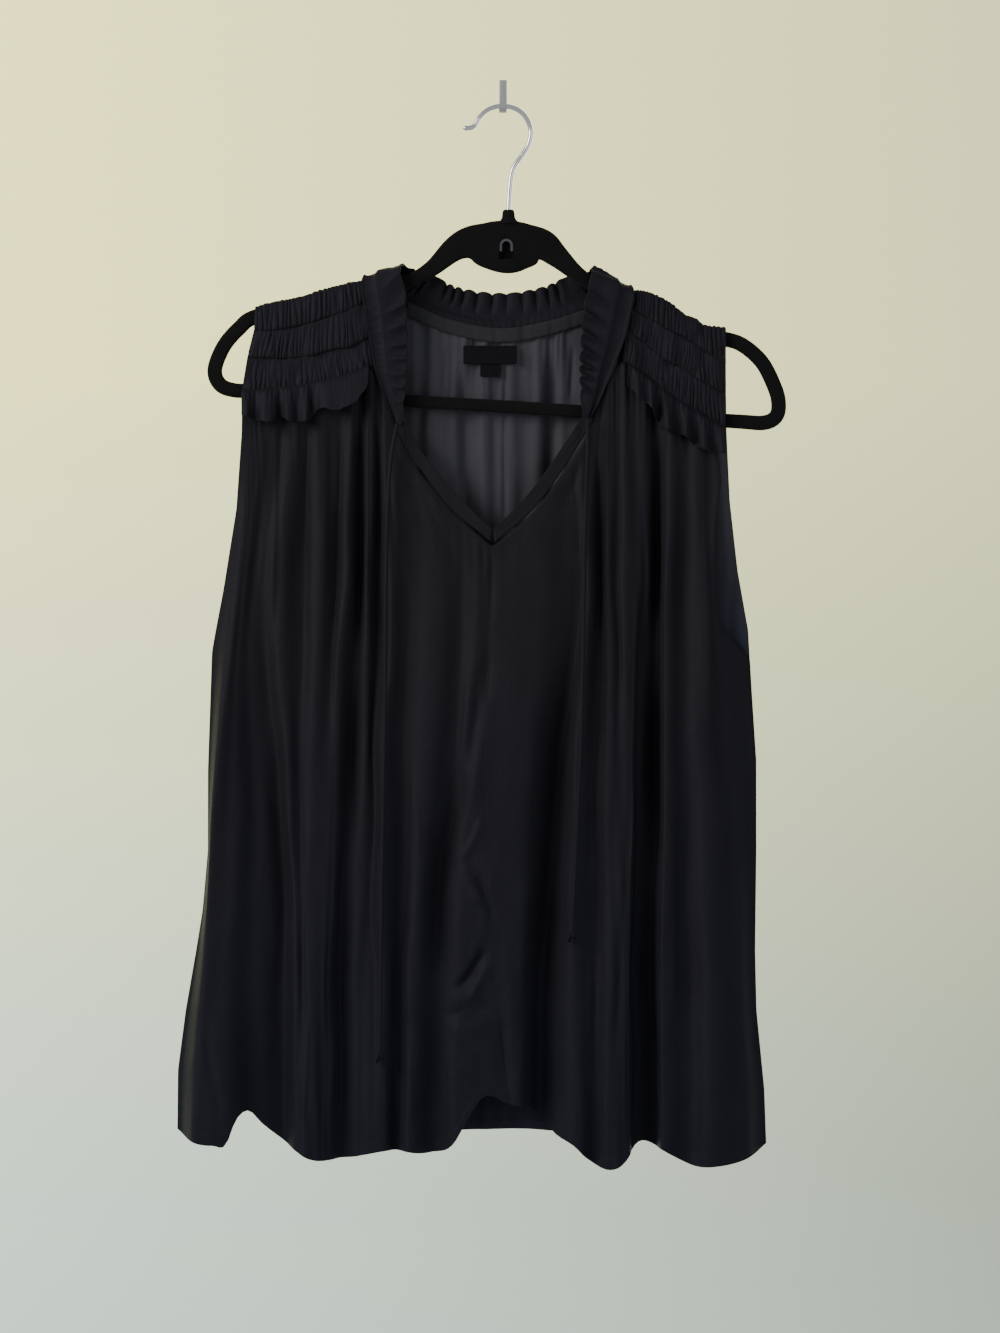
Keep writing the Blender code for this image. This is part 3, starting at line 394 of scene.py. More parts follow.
def overhand_knot(name, x, out, drop):
    """A trefoil of the tie's own cord, pulled tight."""
    turns = np.linspace(0, 2 * math.pi, 73)
    across = np.sin(turns) + 2 * np.sin(2 * turns)
    down = np.cos(turns) - 2 * np.cos(2 * turns)
    deep = -np.sin(3 * turns)
    points = place(
        x + across * KNOT_SIZE, out + deep * KNOT_SIZE, drop + KNOT_FALL + down * KNOT_SIZE * KNOT_LONGER
    )
    return tube(name, points, KNOT_THREAD)


for side, route in (("left", LEFT_TIE), ("right", RIGHT_TIE)):
    points = place(*smooth_route(route, 4.0).T)
    tie = dressed(tube(f"rouleau_{side}", points, TIE_WIDTH), [tie_satin], [f"tie_{side}"])
    knot = dressed(
        overhand_knot(f"rouleau_knot_{side}", *route[-1]), [frill_satin], [f"tie_knot_{side}"]
    )

# %% [markdown]
# ## Cloth as a grid
#
# Each piece of cloth is a grid of points. A thin Solidify gives it two faces, so that its wrong side can
# have its own finish. Soft noise is a table of seeded random heights with smooth steps between them: it
# makes the cloth uneven, and gives the same cloth each time.

# %% Helpers for cloth
CLOTH_THICK = 0.5
NOISE_CELLS = 64


def smoothed(t):
    """0 to 1 with level ends."""
    t = np.clip(t, 0, 1)
    return t * t * (3 - 2 * t)


def pleated(turns, power=0.7):
    """Round pleats with tight valleys, from 0 to 1, one to each turn."""
    return np.abs(np.sin(math.pi * turns)) ** power


def inside_ends(shares):
    """1 along a strip, falling to 0 over the last fourteenth at each end."""
    return np.clip(14 * np.minimum(shares, 1 - shares), 0, 1)


def soft_noise(seed, across, down):
    """Smooth noise from -1 to 1 at places given in cells."""
    table = np.random.default_rng(seed).uniform(-1, 1, (NOISE_CELLS, NOISE_CELLS))
    across, down = np.broadcast_arrays(np.asarray(across, float), np.asarray(down, float))
    i, j = np.floor(across).astype(int), np.floor(down).astype(int)
    s, t = smoothed(across - i), smoothed(down - j)
    i, j, k, m = i % NOISE_CELLS, j % NOISE_CELLS, (i + 1) % NOISE_CELLS, (j + 1) % NOISE_CELLS
    upper = table[i, j] * (1 - s) + table[k, j] * s
    lower = table[i, m] * (1 - s) + table[k, m] * s
    return upper * (1 - t) + lower * t


def eased(at, stations, values):
    """A smooth curve through the values at the stations, level past its ends."""
    stations, values = np.asarray(stations, float), np.asarray(values, float)
    slopes = np.gradient(values, stations, axis=0)
    at = np.clip(at, stations[0], stations[-1])
    i = np.clip(np.searchsorted(stations, at) - 1, 0, len(stations) - 2)
    span = stations[i + 1] - stations[i]
    t = (at - stations[i]) / span
    if values.ndim > 1:
        span, t = span[:, None], t[:, None]
    return (
        (1 + 2 * t) * (1 - t) ** 2 * values[i]
        + t * (1 - t) ** 2 * span * slopes[i]
        + t * t * (3 - 2 * t) * values[i + 1]
        + t * t * (t - 1) * span * slopes[i + 1]
    )


def grid_normals(grid):
    """Unit normals of a grid of points, from its rows and columns."""
    normals = np.cross(np.gradient(grid, axis=1), np.gradient(grid, axis=0))
    return normals / np.maximum(np.linalg.norm(normals, axis=-1, keepdims=True), 1e-12)


def grid_mesh(name, grid):
    """A smooth mesh of quads over rows and columns of points."""
    number = np.arange(grid[..., 0].size).reshape(grid.shape[:2])
    quads = np.stack([number[:-1, :-1], number[1:, :-1], number[1:, 1:], number[:-1, 1:]], axis=-1)
    mesh = bpy.data.meshes.new(name)
    mesh.from_pydata(grid.reshape(-1, 3).tolist(), [], quads.reshape(-1, 4).tolist())
    mesh.shade_smooth()
    return mesh


def cloth(name, grid, finishes, stands_for, flat):
    """A thin sheet on a grid of points, its first finish on its right side."""
    piece = dressed(new_object(name, grid_mesh(name, grid)), finishes, stands_for)
    shell = piece.modifiers.new("shell", "SOLIDIFY")
    shell.thickness = CLOTH_THICK * MM
    shell.offset = 0.0
    shell.material_offset = len(finishes) - 1
    steps = np.linalg.norm(np.cross(grid[1:, :-1] - grid[:-1, :-1], grid[:-1, 1:] - grid[:-1, :-1]), axis=-1)
    print(name, grid.shape[:2], "area", round(float(steps.sum()) * 1e4), "cm2, cut", flat)


# %% [markdown]
# ## The front and back panels
#
# A hanging panel is described by its folds: lines of ridge and valley that run from the gathers to the
# hem. A row of the table gives where one line crosses four levels, and how far it stands out from the
# panel's mean there. The cloth stays broad on a ridge and tight in a valley, as gathered cloth does.

# %% Tables of the panels
# The levels are at the yoke, the bust, the waist and the hem, and LIP parts the front from the back
LEVELS = (256.0, 375.0, 544.0, 790.0)
FRONT_OUT = (24.0, 30.0, 37.0, 45.0)
BACK_LEVELS = (200.0, 375.0, 544.0, 790.0)
BACK_OUT = (8.5, 9.0, 11.5, 14.0)
LIP = 0.95

# Folds: x at each of the four levels, then the rise at each
LEFT_FOLDS = (
    (-191, -204, -220, -235, 1, 2, 4, 5), (-183, -199, -209, -214, 0.5, 0.8, 1.5, 6),
    (-176, -192, -190, -188, -0.3, -2.8, -4, -6), (-170, -184, -171, -166, -2, -2, -9, -9),
    (-160, -172, -162, -156, 1.5, 2, 2, 5), (-151, -154, -155, -150, -2.2, -4.5, -1.5, 8),
    (-141, -139, -147, -144, 1.5, 2, 3, 8), (-125, -130, -135, -138, -2.2, -3, 1.5, 4),
    (-117, -122, -130, -135, 1.5, 1.5, 1.5, 2), (-109, -111, -120, -126, -3.2, -7.5, -7.5, -8),
    (-103, -104, -107, -110, 1.5, 0.5, -2, -1), (-96, -95, -100, -101, -2.5, -5, -4, 2),
    (-90, -86, -91, -90, 1, 3, 3.5, 3), (-78, -76, -79, -82, 0, -1, -2.5, -4),
    (-64, -50, -60, -72, 0, 2, 3.5, 5), (-44, -30, -43, -56, 0, -0.5, -5.5, -5),
    (-25, -19, -27, -34, 0, 1, 3, 3),
)
RIGHT_FOLDS = (
    (11, 22, 16, 9, 0, 1.5, 3, 3), (46, 59, 40, 27, 0, -3, -12, -13), (58, 66, 57, 58, 0, 2, 3, 4.5),
    (73, 74, 71, 71, -2.2, -4.5, -3, -1), (82, 83, 84, 82, 0.8, 2, 3, 6), (88, 88, 90, 88, -1, -1.5, 2, 6),
    (94, 95, 95, 92, 1, 2, 3, 5), (99, 101, 98, 96, -1, 0.5, 2, 3), (109, 108, 101, 99, 1, -3, -9, -11),
    (118, 118, 117, 115, -4, -11.5, -13, -13), (130, 126, 123, 122, 1.5, 3, 3.5, 4.5),
    (142, 139, 138, 143, -1, -3, -3, -2), (152, 154, 158, 162, 1, 2, 3, 6),
    (158, 158, 172, 183, -1, -0.5, -6, -1),
)
# Side edges: drop, x and out
LEFT_SIDE_SEAM = (
    (430, -224, 17), (521, -227, 17.5), (583, -227, 18), (629, -231, 18.5), (660, -236, 19),
    (706, -244, 19.5), (752, -250, 20), (810, -250.5, 20),
)
RIGHT_SIDE_SEAM = (
    (434, 190, 17), (460, 191.5, 17), (514, 195, 17.5), (583, 195, 18), (660, 194, 19), (706, 195, 19.5),
    (767, 201, 20), (810, 202.5, 20),
)
LEFT_FRONT_EDGE = (
    (228, -200.5, 24), (262, -201, 24), (321, -205, 24.5), (383, -215, 22.5), (414, -221, 20),
    *LEFT_SIDE_SEAM,
)
RIGHT_FRONT_EDGE = (
    (250, 166, 24), (281, 165, 24.5), (298, 168, 26), (339, 163, 27), (391, 163.5, 27), (412, 167, 25),
    (424, 178, 21), *RIGHT_SIDE_SEAM,
)
LEFT_BACK_EDGE = (
    (205, -196, 8.5), (300, -200, 8.5), (340, -204, 9), (383, -213, 11.5), (414, -220, 14.5),
    *LEFT_SIDE_SEAM,
)
RIGHT_BACK_EDGE = (
    (220, 172, 8.5), (260, 172.5, 8.5), (314, 175, 9), (368, 181, 11.5), (414, 189, 15), *RIGHT_SIDE_SEAM,
)
CENTRE_FRONT = (
    (349, -8, 28.9), (395, -9, 32.4), (429, -10, 34.6), (470, -12, 37), (514, -14, 39.4), (560, -12, 41.2),
    (606, -12, 43), (650, -9, 44.2), (698, -5, 45.6), (777, 5, 48),
)
# Tops and hems: x and drop
LEFT_FRONT_TOP = (
    (-201, 231.9), (-178, 231), (-150, 227.2), (-122, 220), (-100, 212.2), (-96, 219), (-90, 236),
    (-84, 254), (-81, 260.5), (-72, 280), (-62.5, 294), (-52, 307), (-38, 324), (-12, 346.5), (-8, 349),
)
RIGHT_FRONT_TOP = (
    (-8, 349), (-4, 346.5), (20.5, 326.5), (31, 313.5), (43, 297), (54.5, 280), (66, 262), (70.5, 250),
    (76, 234), (83, 218), (88, 209), (92.5, 207.5), (105, 217.5), (118, 227.2), (145, 245.6), (158, 253.6),
    (171, 261),
)
LEFT_FRONT_HEM = (
    (-251, 797), (-241, 804), (-222, 808), (-211, 806), (-205, 790), (-196, 782), (-185, 792), (-167, 806),
    (-149, 818), (-121, 818), (-84, 812), (-56, 814), (-38, 807), (-28, 790), (-16, 772), (5, 777),
)
RIGHT_FRONT_HEM = (
    (5, 777), (28, 785), (38, 798), (55, 809), (64, 818), (94, 820), (102, 808), (119, 810), (128, 815),
    (147, 824), (165, 824), (184, 820), (194, 815), (203, 808),
)
BACK_TOP = (
    (-196, 206), (-94, 193), (-92.5, 160), (-75, 163), (-64, 165.5), (-41, 173.5), (-2, 180.5),
    (36, 174.5), (63, 166.5), (87, 160.5), (88.4, 192), (172, 222.5),
)
BACK_HEM = (
    (-251, 792), (-222, 790), (-205, 777), (-192, 775), (-170, 788), (-120, 801), (-20, 799), (20, 798),
    (45, 800), (130, 805), (203, 806),
)
print(len(LEFT_FOLDS), "lines of fold on the left front and", len(RIGHT_FOLDS), "on the right")

# %% [markdown]
# Creases lie over the folds: the sharp diagonals that pull from the neck to the point of the V, the
# pressed edges that catch the light down the front, and the rumples beside the centre seam. Each is a
# soft ridge or trough along a bowed line, steeper on one side where the cloth leans over.

# %% Table of creases
# Creases: x and drop of the head, x and drop of the foot, width, rise, lean to one side, and bow
FRONT_CREASES = (
    # from the left end of the neck frill
    (-81, 262, -46, 330, 2.6, 1, 0.3, 2), (-85, 268, -58, 352, 3, -1.1, 0, 3),
    (-86, 275, -70, 390, 3.4, 1, 0.2, -2), (-90, 262, -83, 395, 2.6, -1.2, 0.2, 1),
    (-60, 320, -24, 392, 5, -0.7, 0, 3),
    # down the left front
    (-171, 246, -176, 430, 2.6, -2.2, 0.3, 1), (-151, 244, -153, 430, 1.7, -2, 0.3, 0),
    (-124, 242, -129, 440, 1.8, -1.8, -0.2, 0), (-109, 238, -112, 450, 2.6, -2.8, 0.2, 0),
    (-102, 232, -103, 400, 1.3, -1.4, 0, 0), (-95, 238, -96, 430, 1.7, -2.2, 0, 0),
    (-165, 252, -168, 360, 3, -0.8, 0.2, 1), (-147, 250, -146, 420, 2.4, 1, -0.4, 0),
    (-134, 250, -133, 400, 2.4, -1, 0.3, 0), (-126, 244, -127, 330, 2.2, 0.8, 0, 0),
    (-111, 250, -114, 400, 2.2, -1, -0.3, 0), (-152, 470, -148, 730, 2.6, 1.2, -0.5, -1),
    (-160, 420, -156, 700, 5, -1, 0.3, 0), (-150, 700, -154, 800, 2.4, 1.4, -0.5, 2),
    (-70, 520, -63, 590, 2.6, 1.2, -0.6, 1), (-71, 640, -70, 720, 2.4, 1.3, -0.6, -1),
    (-72, 735, -71, 790, 2.6, 1.2, -0.5, 1), (-196, 480, -192, 620, 5, -1.3, 0, 2),
    (-182, 540, -176, 700, 4, 1, 0.3, 2), (-236, 690, -216, 800, 4, -1.4, 0.2, 3),
    (-226, 720, -212, 795, 3, 1, 0, 2),
    # rumples beside the centre seam
    (-9, 420, -50, 596, 6.5, -4.2, 0, 3), (-48, 560, -55, 690, 6, -4, 0.2, 1),
    (-16, 556, -32, 592, 3.4, 2, 0.3, 1), (-30, 590, -14, 628, 3.6, 2.6, 0.2, -2),
    (-22, 598, -8, 640, 3, -2.6, 0, 2), (-12, 652, -38, 692, 3.6, -4.4, 0.3, 2),
    (-8, 668, -26, 700, 3.2, 2.8, 0.2, -2), (-46, 712, -6, 704, 4.4, -2.6, 0.2, 2),
    (-42, 722, -8, 716, 6, 1.8, 0, 2), (-2, 706, 2, 772, 4, -2.2, 0.2, 1),
    (-8, 352, -13, 480, 0.9, -0.6, 0, 0),
    # the seam's wandering fold and what hangs from it
    (-12, 360, -14, 470, 4, -1, 0.2, 1), (-16, 430, -26, 560, 5, 1.4, 0.4, 3),
    (-28, 520, -22, 620, 6, -1.6, 0.2, -3), (-8, 590, -20, 655, 3.4, 1.2, 0.3, 2),
    (-30, 735, -24, 790, 4, 1.2, 0.3, 1), (2, 640, 6, 760, 4, 1.3, -0.3, 2),
    (30, 600, 14, 740, 8, -3, 0.4, -2), (57, 400, 32, 640, 7, -2.2, 0.4, -2),
    # from the right end of the neck frill
    (67, 262, 30, 322, 2.4, 1, 0.3, -2), (70, 268, 44, 330, 2.8, -1.1, 0, -2),
    (72, 272, 58, 380, 3, 1, -0.2, 2), (76, 262, 70, 400, 2.4, -1.2, 0, 0),
    # down the right front
    (118, 250, 118, 420, 3.4, -2.6, 0.2, 0), (72, 258, 74, 430, 2.2, -2, 0, 0),
    (86, 246, 86, 420, 2.2, 0.9, 0.2, 0), (103, 250, 104, 420, 2.2, -1, -0.3, 0),
    (113, 260, 110, 480, 2.4, 1, 0.4, 0), (125, 262, 123, 420, 2.4, 1.2, -0.4, 0),
    (136, 280, 134, 430, 2.6, -0.9, 0.2, 0), (148, 290, 147, 420, 2.6, 0.9, 0, 0),
    (131, 560, 130, 720, 2.2, 1.5, -0.6, 1), (104, 420, 98, 640, 3, 1, 0.5, 0),
    (75, 480, 68, 620, 2.4, 1.2, 0.4, 0), (66, 640, 66, 780, 2.4, 1, 0.4, 0),
    (150, 430, 158, 600, 5, -1.2, 0, 2), (172, 440, 180, 640, 5, 1, 0.2, 2),
    (164, 640, 180, 790, 6, -1.3, 0, 3), (140, 700, 144, 815, 4, 1, 0.2, -1),
)
BACK_CREASES = (
    (1, 190, 1, 356, 1.3, -3, 0, 0), (-31, 200, -29, 350, 4.2, -6.5, 0, 0),
    (-48, 200, -50, 420, 6, 1.4, 0.3, 1), (-78, 196, -72, 310, 9, -6, 0.3, 0),
    (-14, 205, -13, 400, 6, 1.2, -0.3, 0), (13, 205, 13, 400, 5, 1.2, -0.3, 0),
    (36, 196, 34, 330, 7, -6, 0.2, 1), (22, 196, 24, 250, 2, -1.8, 0, 0),
    (-44, 190, -46, 236, 1.6, -1.8, 0, 0), (-40, 190, -41, 240, 1.6, -1.6, 0, 0),
    (54, 192, 52, 240, 1.8, -1.8, 0, 0), (62, 200, 66, 380, 4, 1.4, 0, 1),
    (-130, 240, -138, 560, 5, -1.6, 0.2, 3), (-96, 260, -104, 640, 6, 1.8, 0.3, -2),
    (-40, 420, -52, 740, 7, 1.8, -0.2, 4), (14, 430, 26, 780, 6, -1.8, 0.2, -3),
    (84, 260, 96, 600, 6, 1.6, 0.2, 2), (120, 300, 140, 700, 7, -1.8, 0, 3),
    (-176, 420, -196, 780, 6, 1.8, 0.3, 3), (160, 480, 176, 780, 6, 1.6, -0.3, -3),
)


def creased(creases, x, drop):
    """How far a set of creases moves the cloth out at each place, in millimetres."""
    total = np.zeros_like(x)
    for head_x, head_drop, foot_x, foot_drop, width, rise, lean, bow in creases:
        run_x, run_drop = foot_x - head_x, foot_drop - head_drop
        long = math.hypot(run_x, run_drop)
        along = ((x - head_x) * run_x + (drop - head_drop) * run_drop) / long**2
        off = ((x - head_x) * run_drop - (drop - head_drop) * run_x) / long
        off = off - bow * 4 * along * (1 - along)
        wide = width * np.where(off > 0, 1 + lean, 1 - lean)
        total += rise * np.exp(-((off / wide) ** 2)) * smoothed(4 * np.minimum(along, 1 - along))
    return total


print(len(FRONT_CREASES), "creases on the front and", len(BACK_CREASES), "on the back")

# %% [markdown]
# `Panel` reads every fold line at many levels once, and then finds any point by where it lies between
# two lines. The gathers close to the top seam are finer than the folds that they feed, so they are a
# ripple that dies out downwards, and the hem has a turning that stands a little proud.

# %% The panel
PANEL_REACH = (150.0, 850.0)
TABLE_STEP = 3.0
RIDGE_BREADTH = 1.15
# Folds wander sideways, swell and deepen below the gathers
WANDER, SWELL, DEEPER = 2.4, 0.35, 0.3
WANDER_LONG, SWELL_LONG = 62, 85
LOOSE_FROM, LOOSE_OVER = 250, 120
CELLS_APART = 3.7
LEAST_GAP = 1.2
OUTLINE_TRIES = 14
COLUMNS_EACH_FOLD = 7
SEAM_COLUMN = 0.02
SEAM_CALM = 16.0
BACK_SEAM_OUT = 8.0
PANEL_ROWS = 150
TOP_CALM, SIDE_CALM = 12, 9
GATHER_RISE, GATHER_REACH, GATHER_PITCH = 0.75, 46, 7.0
HEM_TURNING, HEM_EDGE, HEM_RISE = 9.0, 0.7, 0.22
PUCKER_RISE, PUCKER_LONG, PUCKER_REACH = 0.14, 1.7, 5
HEM_ROWS = (14.0, 11.5, 9.8, 9.2, 8.6, 7.0, 4.5, 2.4, 0.9, 0.0)
# The cloth's unevenness: slant, cells across and down in millimetres, and height
DRAPE = ((0.10, 8, 95, 0.42), (0.0, 31, 70, 0.8), (-0.25, 15, 44, 0.5), (0.10, 3.8, 18, 0.13))


class Panel:
    """A hanging panel: lines of ridge and valley between two side edges."""

    def __init__(self, levels, outs, edges, folds, creases, seed, open_edges=(0, 1), seam_out=None):
        self.creases, self.seed, self.open_edges, self.seam_out = creases, seed, open_edges, seam_out
        self.drops = np.arange(*PANEL_REACH, TABLE_STEP)
        table, down = np.array(folds, float), self.drops[:, None]
        inner_x = eased(self.drops, levels, table[:, :4].T)
        inner_out = eased(self.drops, levels, table[:, 4:].T + np.array(outs)[:, None])
        lines = np.arange(len(table))[None, :] * CELLS_APART + 0.5
        loose = smoothed((down - LOOSE_FROM) / LOOSE_OVER)
        inner_x = inner_x + WANDER * loose * soft_noise(seed + 7, lines, down / WANDER_LONG)
        swell = 1 + SWELL * soft_noise(seed + 8, lines, down / SWELL_LONG)
        mean_out = eased(self.drops, levels, np.array(outs, float))[:, None]
        inner_out = mean_out + (inner_out - mean_out) * swell * (1 + DEEPER * loose)
        first, last = [
            [np.interp(self.drops, edge[:, 0], edge[:, k]) for k in (1, 2)] for edge in map(np.array, edges)
        ]
        self.xs = np.column_stack([first[0], inner_x, last[0]])
        self.outs = np.column_stack([first[1], inner_out, last[1]])
        self.final = self.xs.shape[1] - 1
        steps = LEAST_GAP * np.arange(self.final + 1)
        self.xs = np.minimum(np.maximum(self.xs, self.xs[:, :1] + steps), self.xs[:, -1:] - steps[::-1])

    def spot(self, column, drop):
        """x and out at a column, counted in fold lines, and a drop."""
        row = np.clip((drop - self.drops[0]) / TABLE_STEP, 0, len(self.drops) - 2)
        k, v = row.astype(int), row - row.astype(int)
        i = np.clip(column.astype(int), 0, self.final - 1)
        t = column - i
        xs = [self.xs[k, i + n] * (1 - v) + self.xs[k + 1, i + n] * v for n in (0, 1)]
        outs = [self.outs[k, i + n] * (1 - v) + self.outs[k + 1, i + n] * v for n in (0, 1)]
        high, low = np.maximum(*outs), np.minimum(*outs)
        from_ridge = np.where(outs[0] >= outs[1], t, 1 - t)
        fall = (0.5 - 0.5 * np.cos(math.pi * from_ridge)) ** RIDGE_BREADTH
        return xs[0] + (xs[1] - xs[0]) * t, high + (low - high) * fall

    def end_of(self, column, edge, start, curve):
        """Where each column crosses an upper or lower outline, found by a few tries."""
        drop = np.full_like(column, start)
        for _ in range(OUTLINE_TRIES):
            drop = curve(self.spot(column, drop)[0], *np.transpose(edge))
        return drop

    def relief(self, x, drop, top, hem, side):
        """Creases, gathers, unevenness and the hem's turning, over the folds."""
        inside = smoothed((drop - top) / TOP_CALM) * smoothed(side / SIDE_CALM)
        gather = GATHER_RISE * np.exp(-np.maximum(drop - top, 0) / GATHER_REACH)
        pitch = GATHER_PITCH + 1.6 * soft_noise(self.seed, x / 23, 1.5)
        ripple = np.sin(2 * math.pi * (x + 3 * soft_noise(self.seed + 1, x / 17, drop / 60)) / pitch)
        height = gather * ripple + creased(self.creases, x, drop)
        for number, (slant, wide, tall, rise) in enumerate(DRAPE, self.seed + 2):
            height = height + rise * soft_noise(number, (x + slant * drop) / wide + 300, drop / tall)
        turning = HEM_RISE * (1 - smoothed((hem - drop - HEM_TURNING + HEM_EDGE) / HEM_EDGE))
        pucker = np.sin(drop / PUCKER_LONG + 3 * soft_noise(5, x / 30 + 9, drop / 20))
        return inside * height + turning + PUCKER_RISE * pucker * np.exp(-side / PUCKER_REACH)

    def grid(self, top, hem):
        """x, out and drop of the whole panel, row by row from its top seam to its hem."""
        column = np.linspace(0, self.final, COLUMNS_EACH_FOLD * self.final + 1)
        sewn = [abs(edge * self.final - SEAM_COLUMN) for edge in (0, 1) if edge not in self.open_edges]
        column = np.sort(np.append(column, sewn))
        first = self.end_of(column, top, 250.0, np.interp)
        last = self.end_of(column, hem, 790.0, eased)
        shares = np.linspace(0, 1, PANEL_ROWS)[:, None]
        main = first + (last - HEM_ROWS[0] - 2 - first) * shares
        drop = np.vstack([main, last - np.array(HEM_ROWS)[:, None]])
        column = np.broadcast_to(column, drop.shape)
        x, out = self.spot(column, drop)
        if self.seam_out is not None:
            out = self.seam_out + (out - self.seam_out) * smoothed((drop - first) / SEAM_CALM)
        ends = [column * 0 + self.final * edge for edge in self.open_edges]
        side = np.min([np.abs(x - self.spot(end, drop)[0]) for end in ends], axis=0)
        return x, out + self.relief(x, drop, first, last, side), drop

    def out_at(self, x, drop):
        """How far out the cloth is at each place of a line, for what is sewn on it."""
        column = np.linspace(0, self.final, 12 * (self.final + 1))
        lines = [self.spot(column, np.full_like(column, level)) for level in np.broadcast_to(drop, x.shape)]
        return np.array([np.interp(spot, *line) for spot, line in zip(x, lines)])


print("the back's seam stands", BACK_SEAM_OUT, "mm out of the wall")

# %% [markdown]
# The back is gathered evenly, so its folds come from a loop. They are small at the neck, where the
# gathers are close, and merge into a few broad waves at the hem.

# %% The three panels
BACK_GATHERS = 19
# For each level: where the back starts, how wide it is, how much it swings, and its two kinds of rise
BACK_SPREAD = (
    (-198, 370, 0.0, 1.4, 0.0), (-212, 394, 0.5, 1.0, 1.3),
    (-226, 420, 1.0, 0.35, 3.2), (-250, 452, 1.0, 0.0, 4.6),
)


def back_folds():
    folds = []
    chance = np.random.default_rng(29)
    for i in range(1, 2 * BACK_GATHERS):
        share = (i + chance.uniform(-0.34, 0.34)) / (2 * BACK_GATHERS)
        sharp = chance.uniform(0.4, 1.5) * (1.0 if i % 2 else -1.0)
        turn = 2 * math.pi * share
        broad = math.sin(3.2 * turn + 0.6) + 0.6 * math.sin(5.3 * turn + 1.9)
        swing = 0.012 * math.sin(2.3 * turn)
        across = [start + wide * (share + part * swing) for start, wide, part, _, _ in BACK_SPREAD]
        folds.append(across + [small * sharp + large * broad for *_, small, large in BACK_SPREAD])
    return folds


LIFT = (0, 0, LIP)
left_edges = np.add(LEFT_FRONT_EDGE, LIFT), CENTRE_FRONT
right_edges = CENTRE_FRONT, np.add(RIGHT_FRONT_EDGE, LIFT)
back_edges = np.subtract(LEFT_BACK_EDGE, LIFT), np.subtract(RIGHT_BACK_EDGE, LIFT)
front_left = Panel(LEVELS, FRONT_OUT, left_edges, LEFT_FOLDS, FRONT_CREASES, 11, (0,))
front_right = Panel(LEVELS, FRONT_OUT, right_edges, RIGHT_FOLDS, FRONT_CREASES, 11, (1,))
back = Panel(BACK_LEVELS, BACK_OUT, back_edges, back_folds(), BACK_CREASES, 37, seam_out=BACK_SEAM_OUT)
panels = {}
for name, panel, top, hem, cut in (
    ("front_left", front_left, LEFT_FRONT_TOP, LEFT_FRONT_HEM, (0.30, 0.60)),
    ("front_right", front_right, RIGHT_FRONT_TOP, RIGHT_FRONT_HEM, (0.27, 0.59)),
    ("back", back, BACK_TOP, BACK_HEM, (0.52, 0.63)),
):
    grid = panels[name] = place(*panel.grid(top, hem))
    faced = grid[:, ::-1] if name == "back" else grid
    cloth(f"satin_{name}", faced, [black_satin, wrong_side_and_painted_light], [name], cut)

# %% [markdown]
# ## The smocked shoulders
#
# Each yoke is one strip, drawn up on six lines of stitching from the front seam over the shoulder to
# the back. The pleats puff between the lines, and the foot of each tier rolls over the line under it,
# which throws the dark line that shows from a step away. A height over a plain curve gives both.

# %% The yokes
StitchLine = namedtuple("StitchLine", "arm_x arm_drop neck_x neck_drop sag lean out")

LEFT_YOKE = (
    StitchLine(-201, 231, -99, 211, 5, 0, 22.6),
    StitchLine(-196.5, 203, -103, 188.5, 6.5, 0, 22.6),
    StitchLine(-191.5, 183, -106.5, 160, 6, 0, 22.6),
    StitchLine(-190.7, 164.3, -108, 143.6, 0.5, 0, 16.0),
    StitchLine(-191, 184, -92, 170, 0, 0, 9.2),
    StitchLine(-196, 208, -92, 195, 0, 0, 9.2),
)
RIGHT_YOKE = (
    StitchLine(171, 260, 92, 206, 2.5, 0, 22.6),
    StitchLine(171, 230, 95, 181, 5, 0, 22.6),
    StitchLine(171.5, 208, 98, 165, 1, 0, 22.6),
    StitchLine(171.5, 180.4, 99, 152.6, -1, 4, 16.0),
    StitchLine(172, 205, 86, 175, 0, 0, 9.2),
    StitchLine(172, 225, 86, 195, 0, 0, 9.2),
)
YOKE_PLEATS = 23
PLEAT_RISE = 1.7
YOKE_COLUMNS = 330
TIER_SHARES = (0.0, 0.015, 0.035, 0.06, 0.1, 0.16, 0.24, 0.34, 0.46, 0.58, 0.7, 0.82, 0.91, 0.97)
CREST_SHARE = 0.62


def along_line(line, across):
    """x and drop along a line of stitching, from 0 at the armhole to 1 at the neck."""
    x = line.arm_x + (line.neck_x - line.arm_x) * across
    bow = 4 * line.sag * across * (1 - across) + line.lean * np.sin(2 * math.pi * across)
    return x, line.arm_drop + (line.neck_drop - line.arm_drop) * across + bow


def yoke_spot(low, high, share, across, tier, crest):
    """The yoke's plain curve: the two tiers next to the crest bend over the shoulder."""
    low_x, low_drop = along_line(low, across)
    high_x, high_drop = along_line(high, across)
    if tier == crest - 1:
        out = high.out + (low.out - high.out) * math.sqrt(max(0.0, 1 - share**4))
    elif tier == crest:
        out = low.out + (high.out - low.out) * math.sqrt(max(0.0, 1 - (1 - share) ** 4))
    else:
        out = low.out + (high.out - low.out) * share
    return place(low_x + (high_x - low_x) * share, out, low_drop + (high_drop - low_drop) * share)


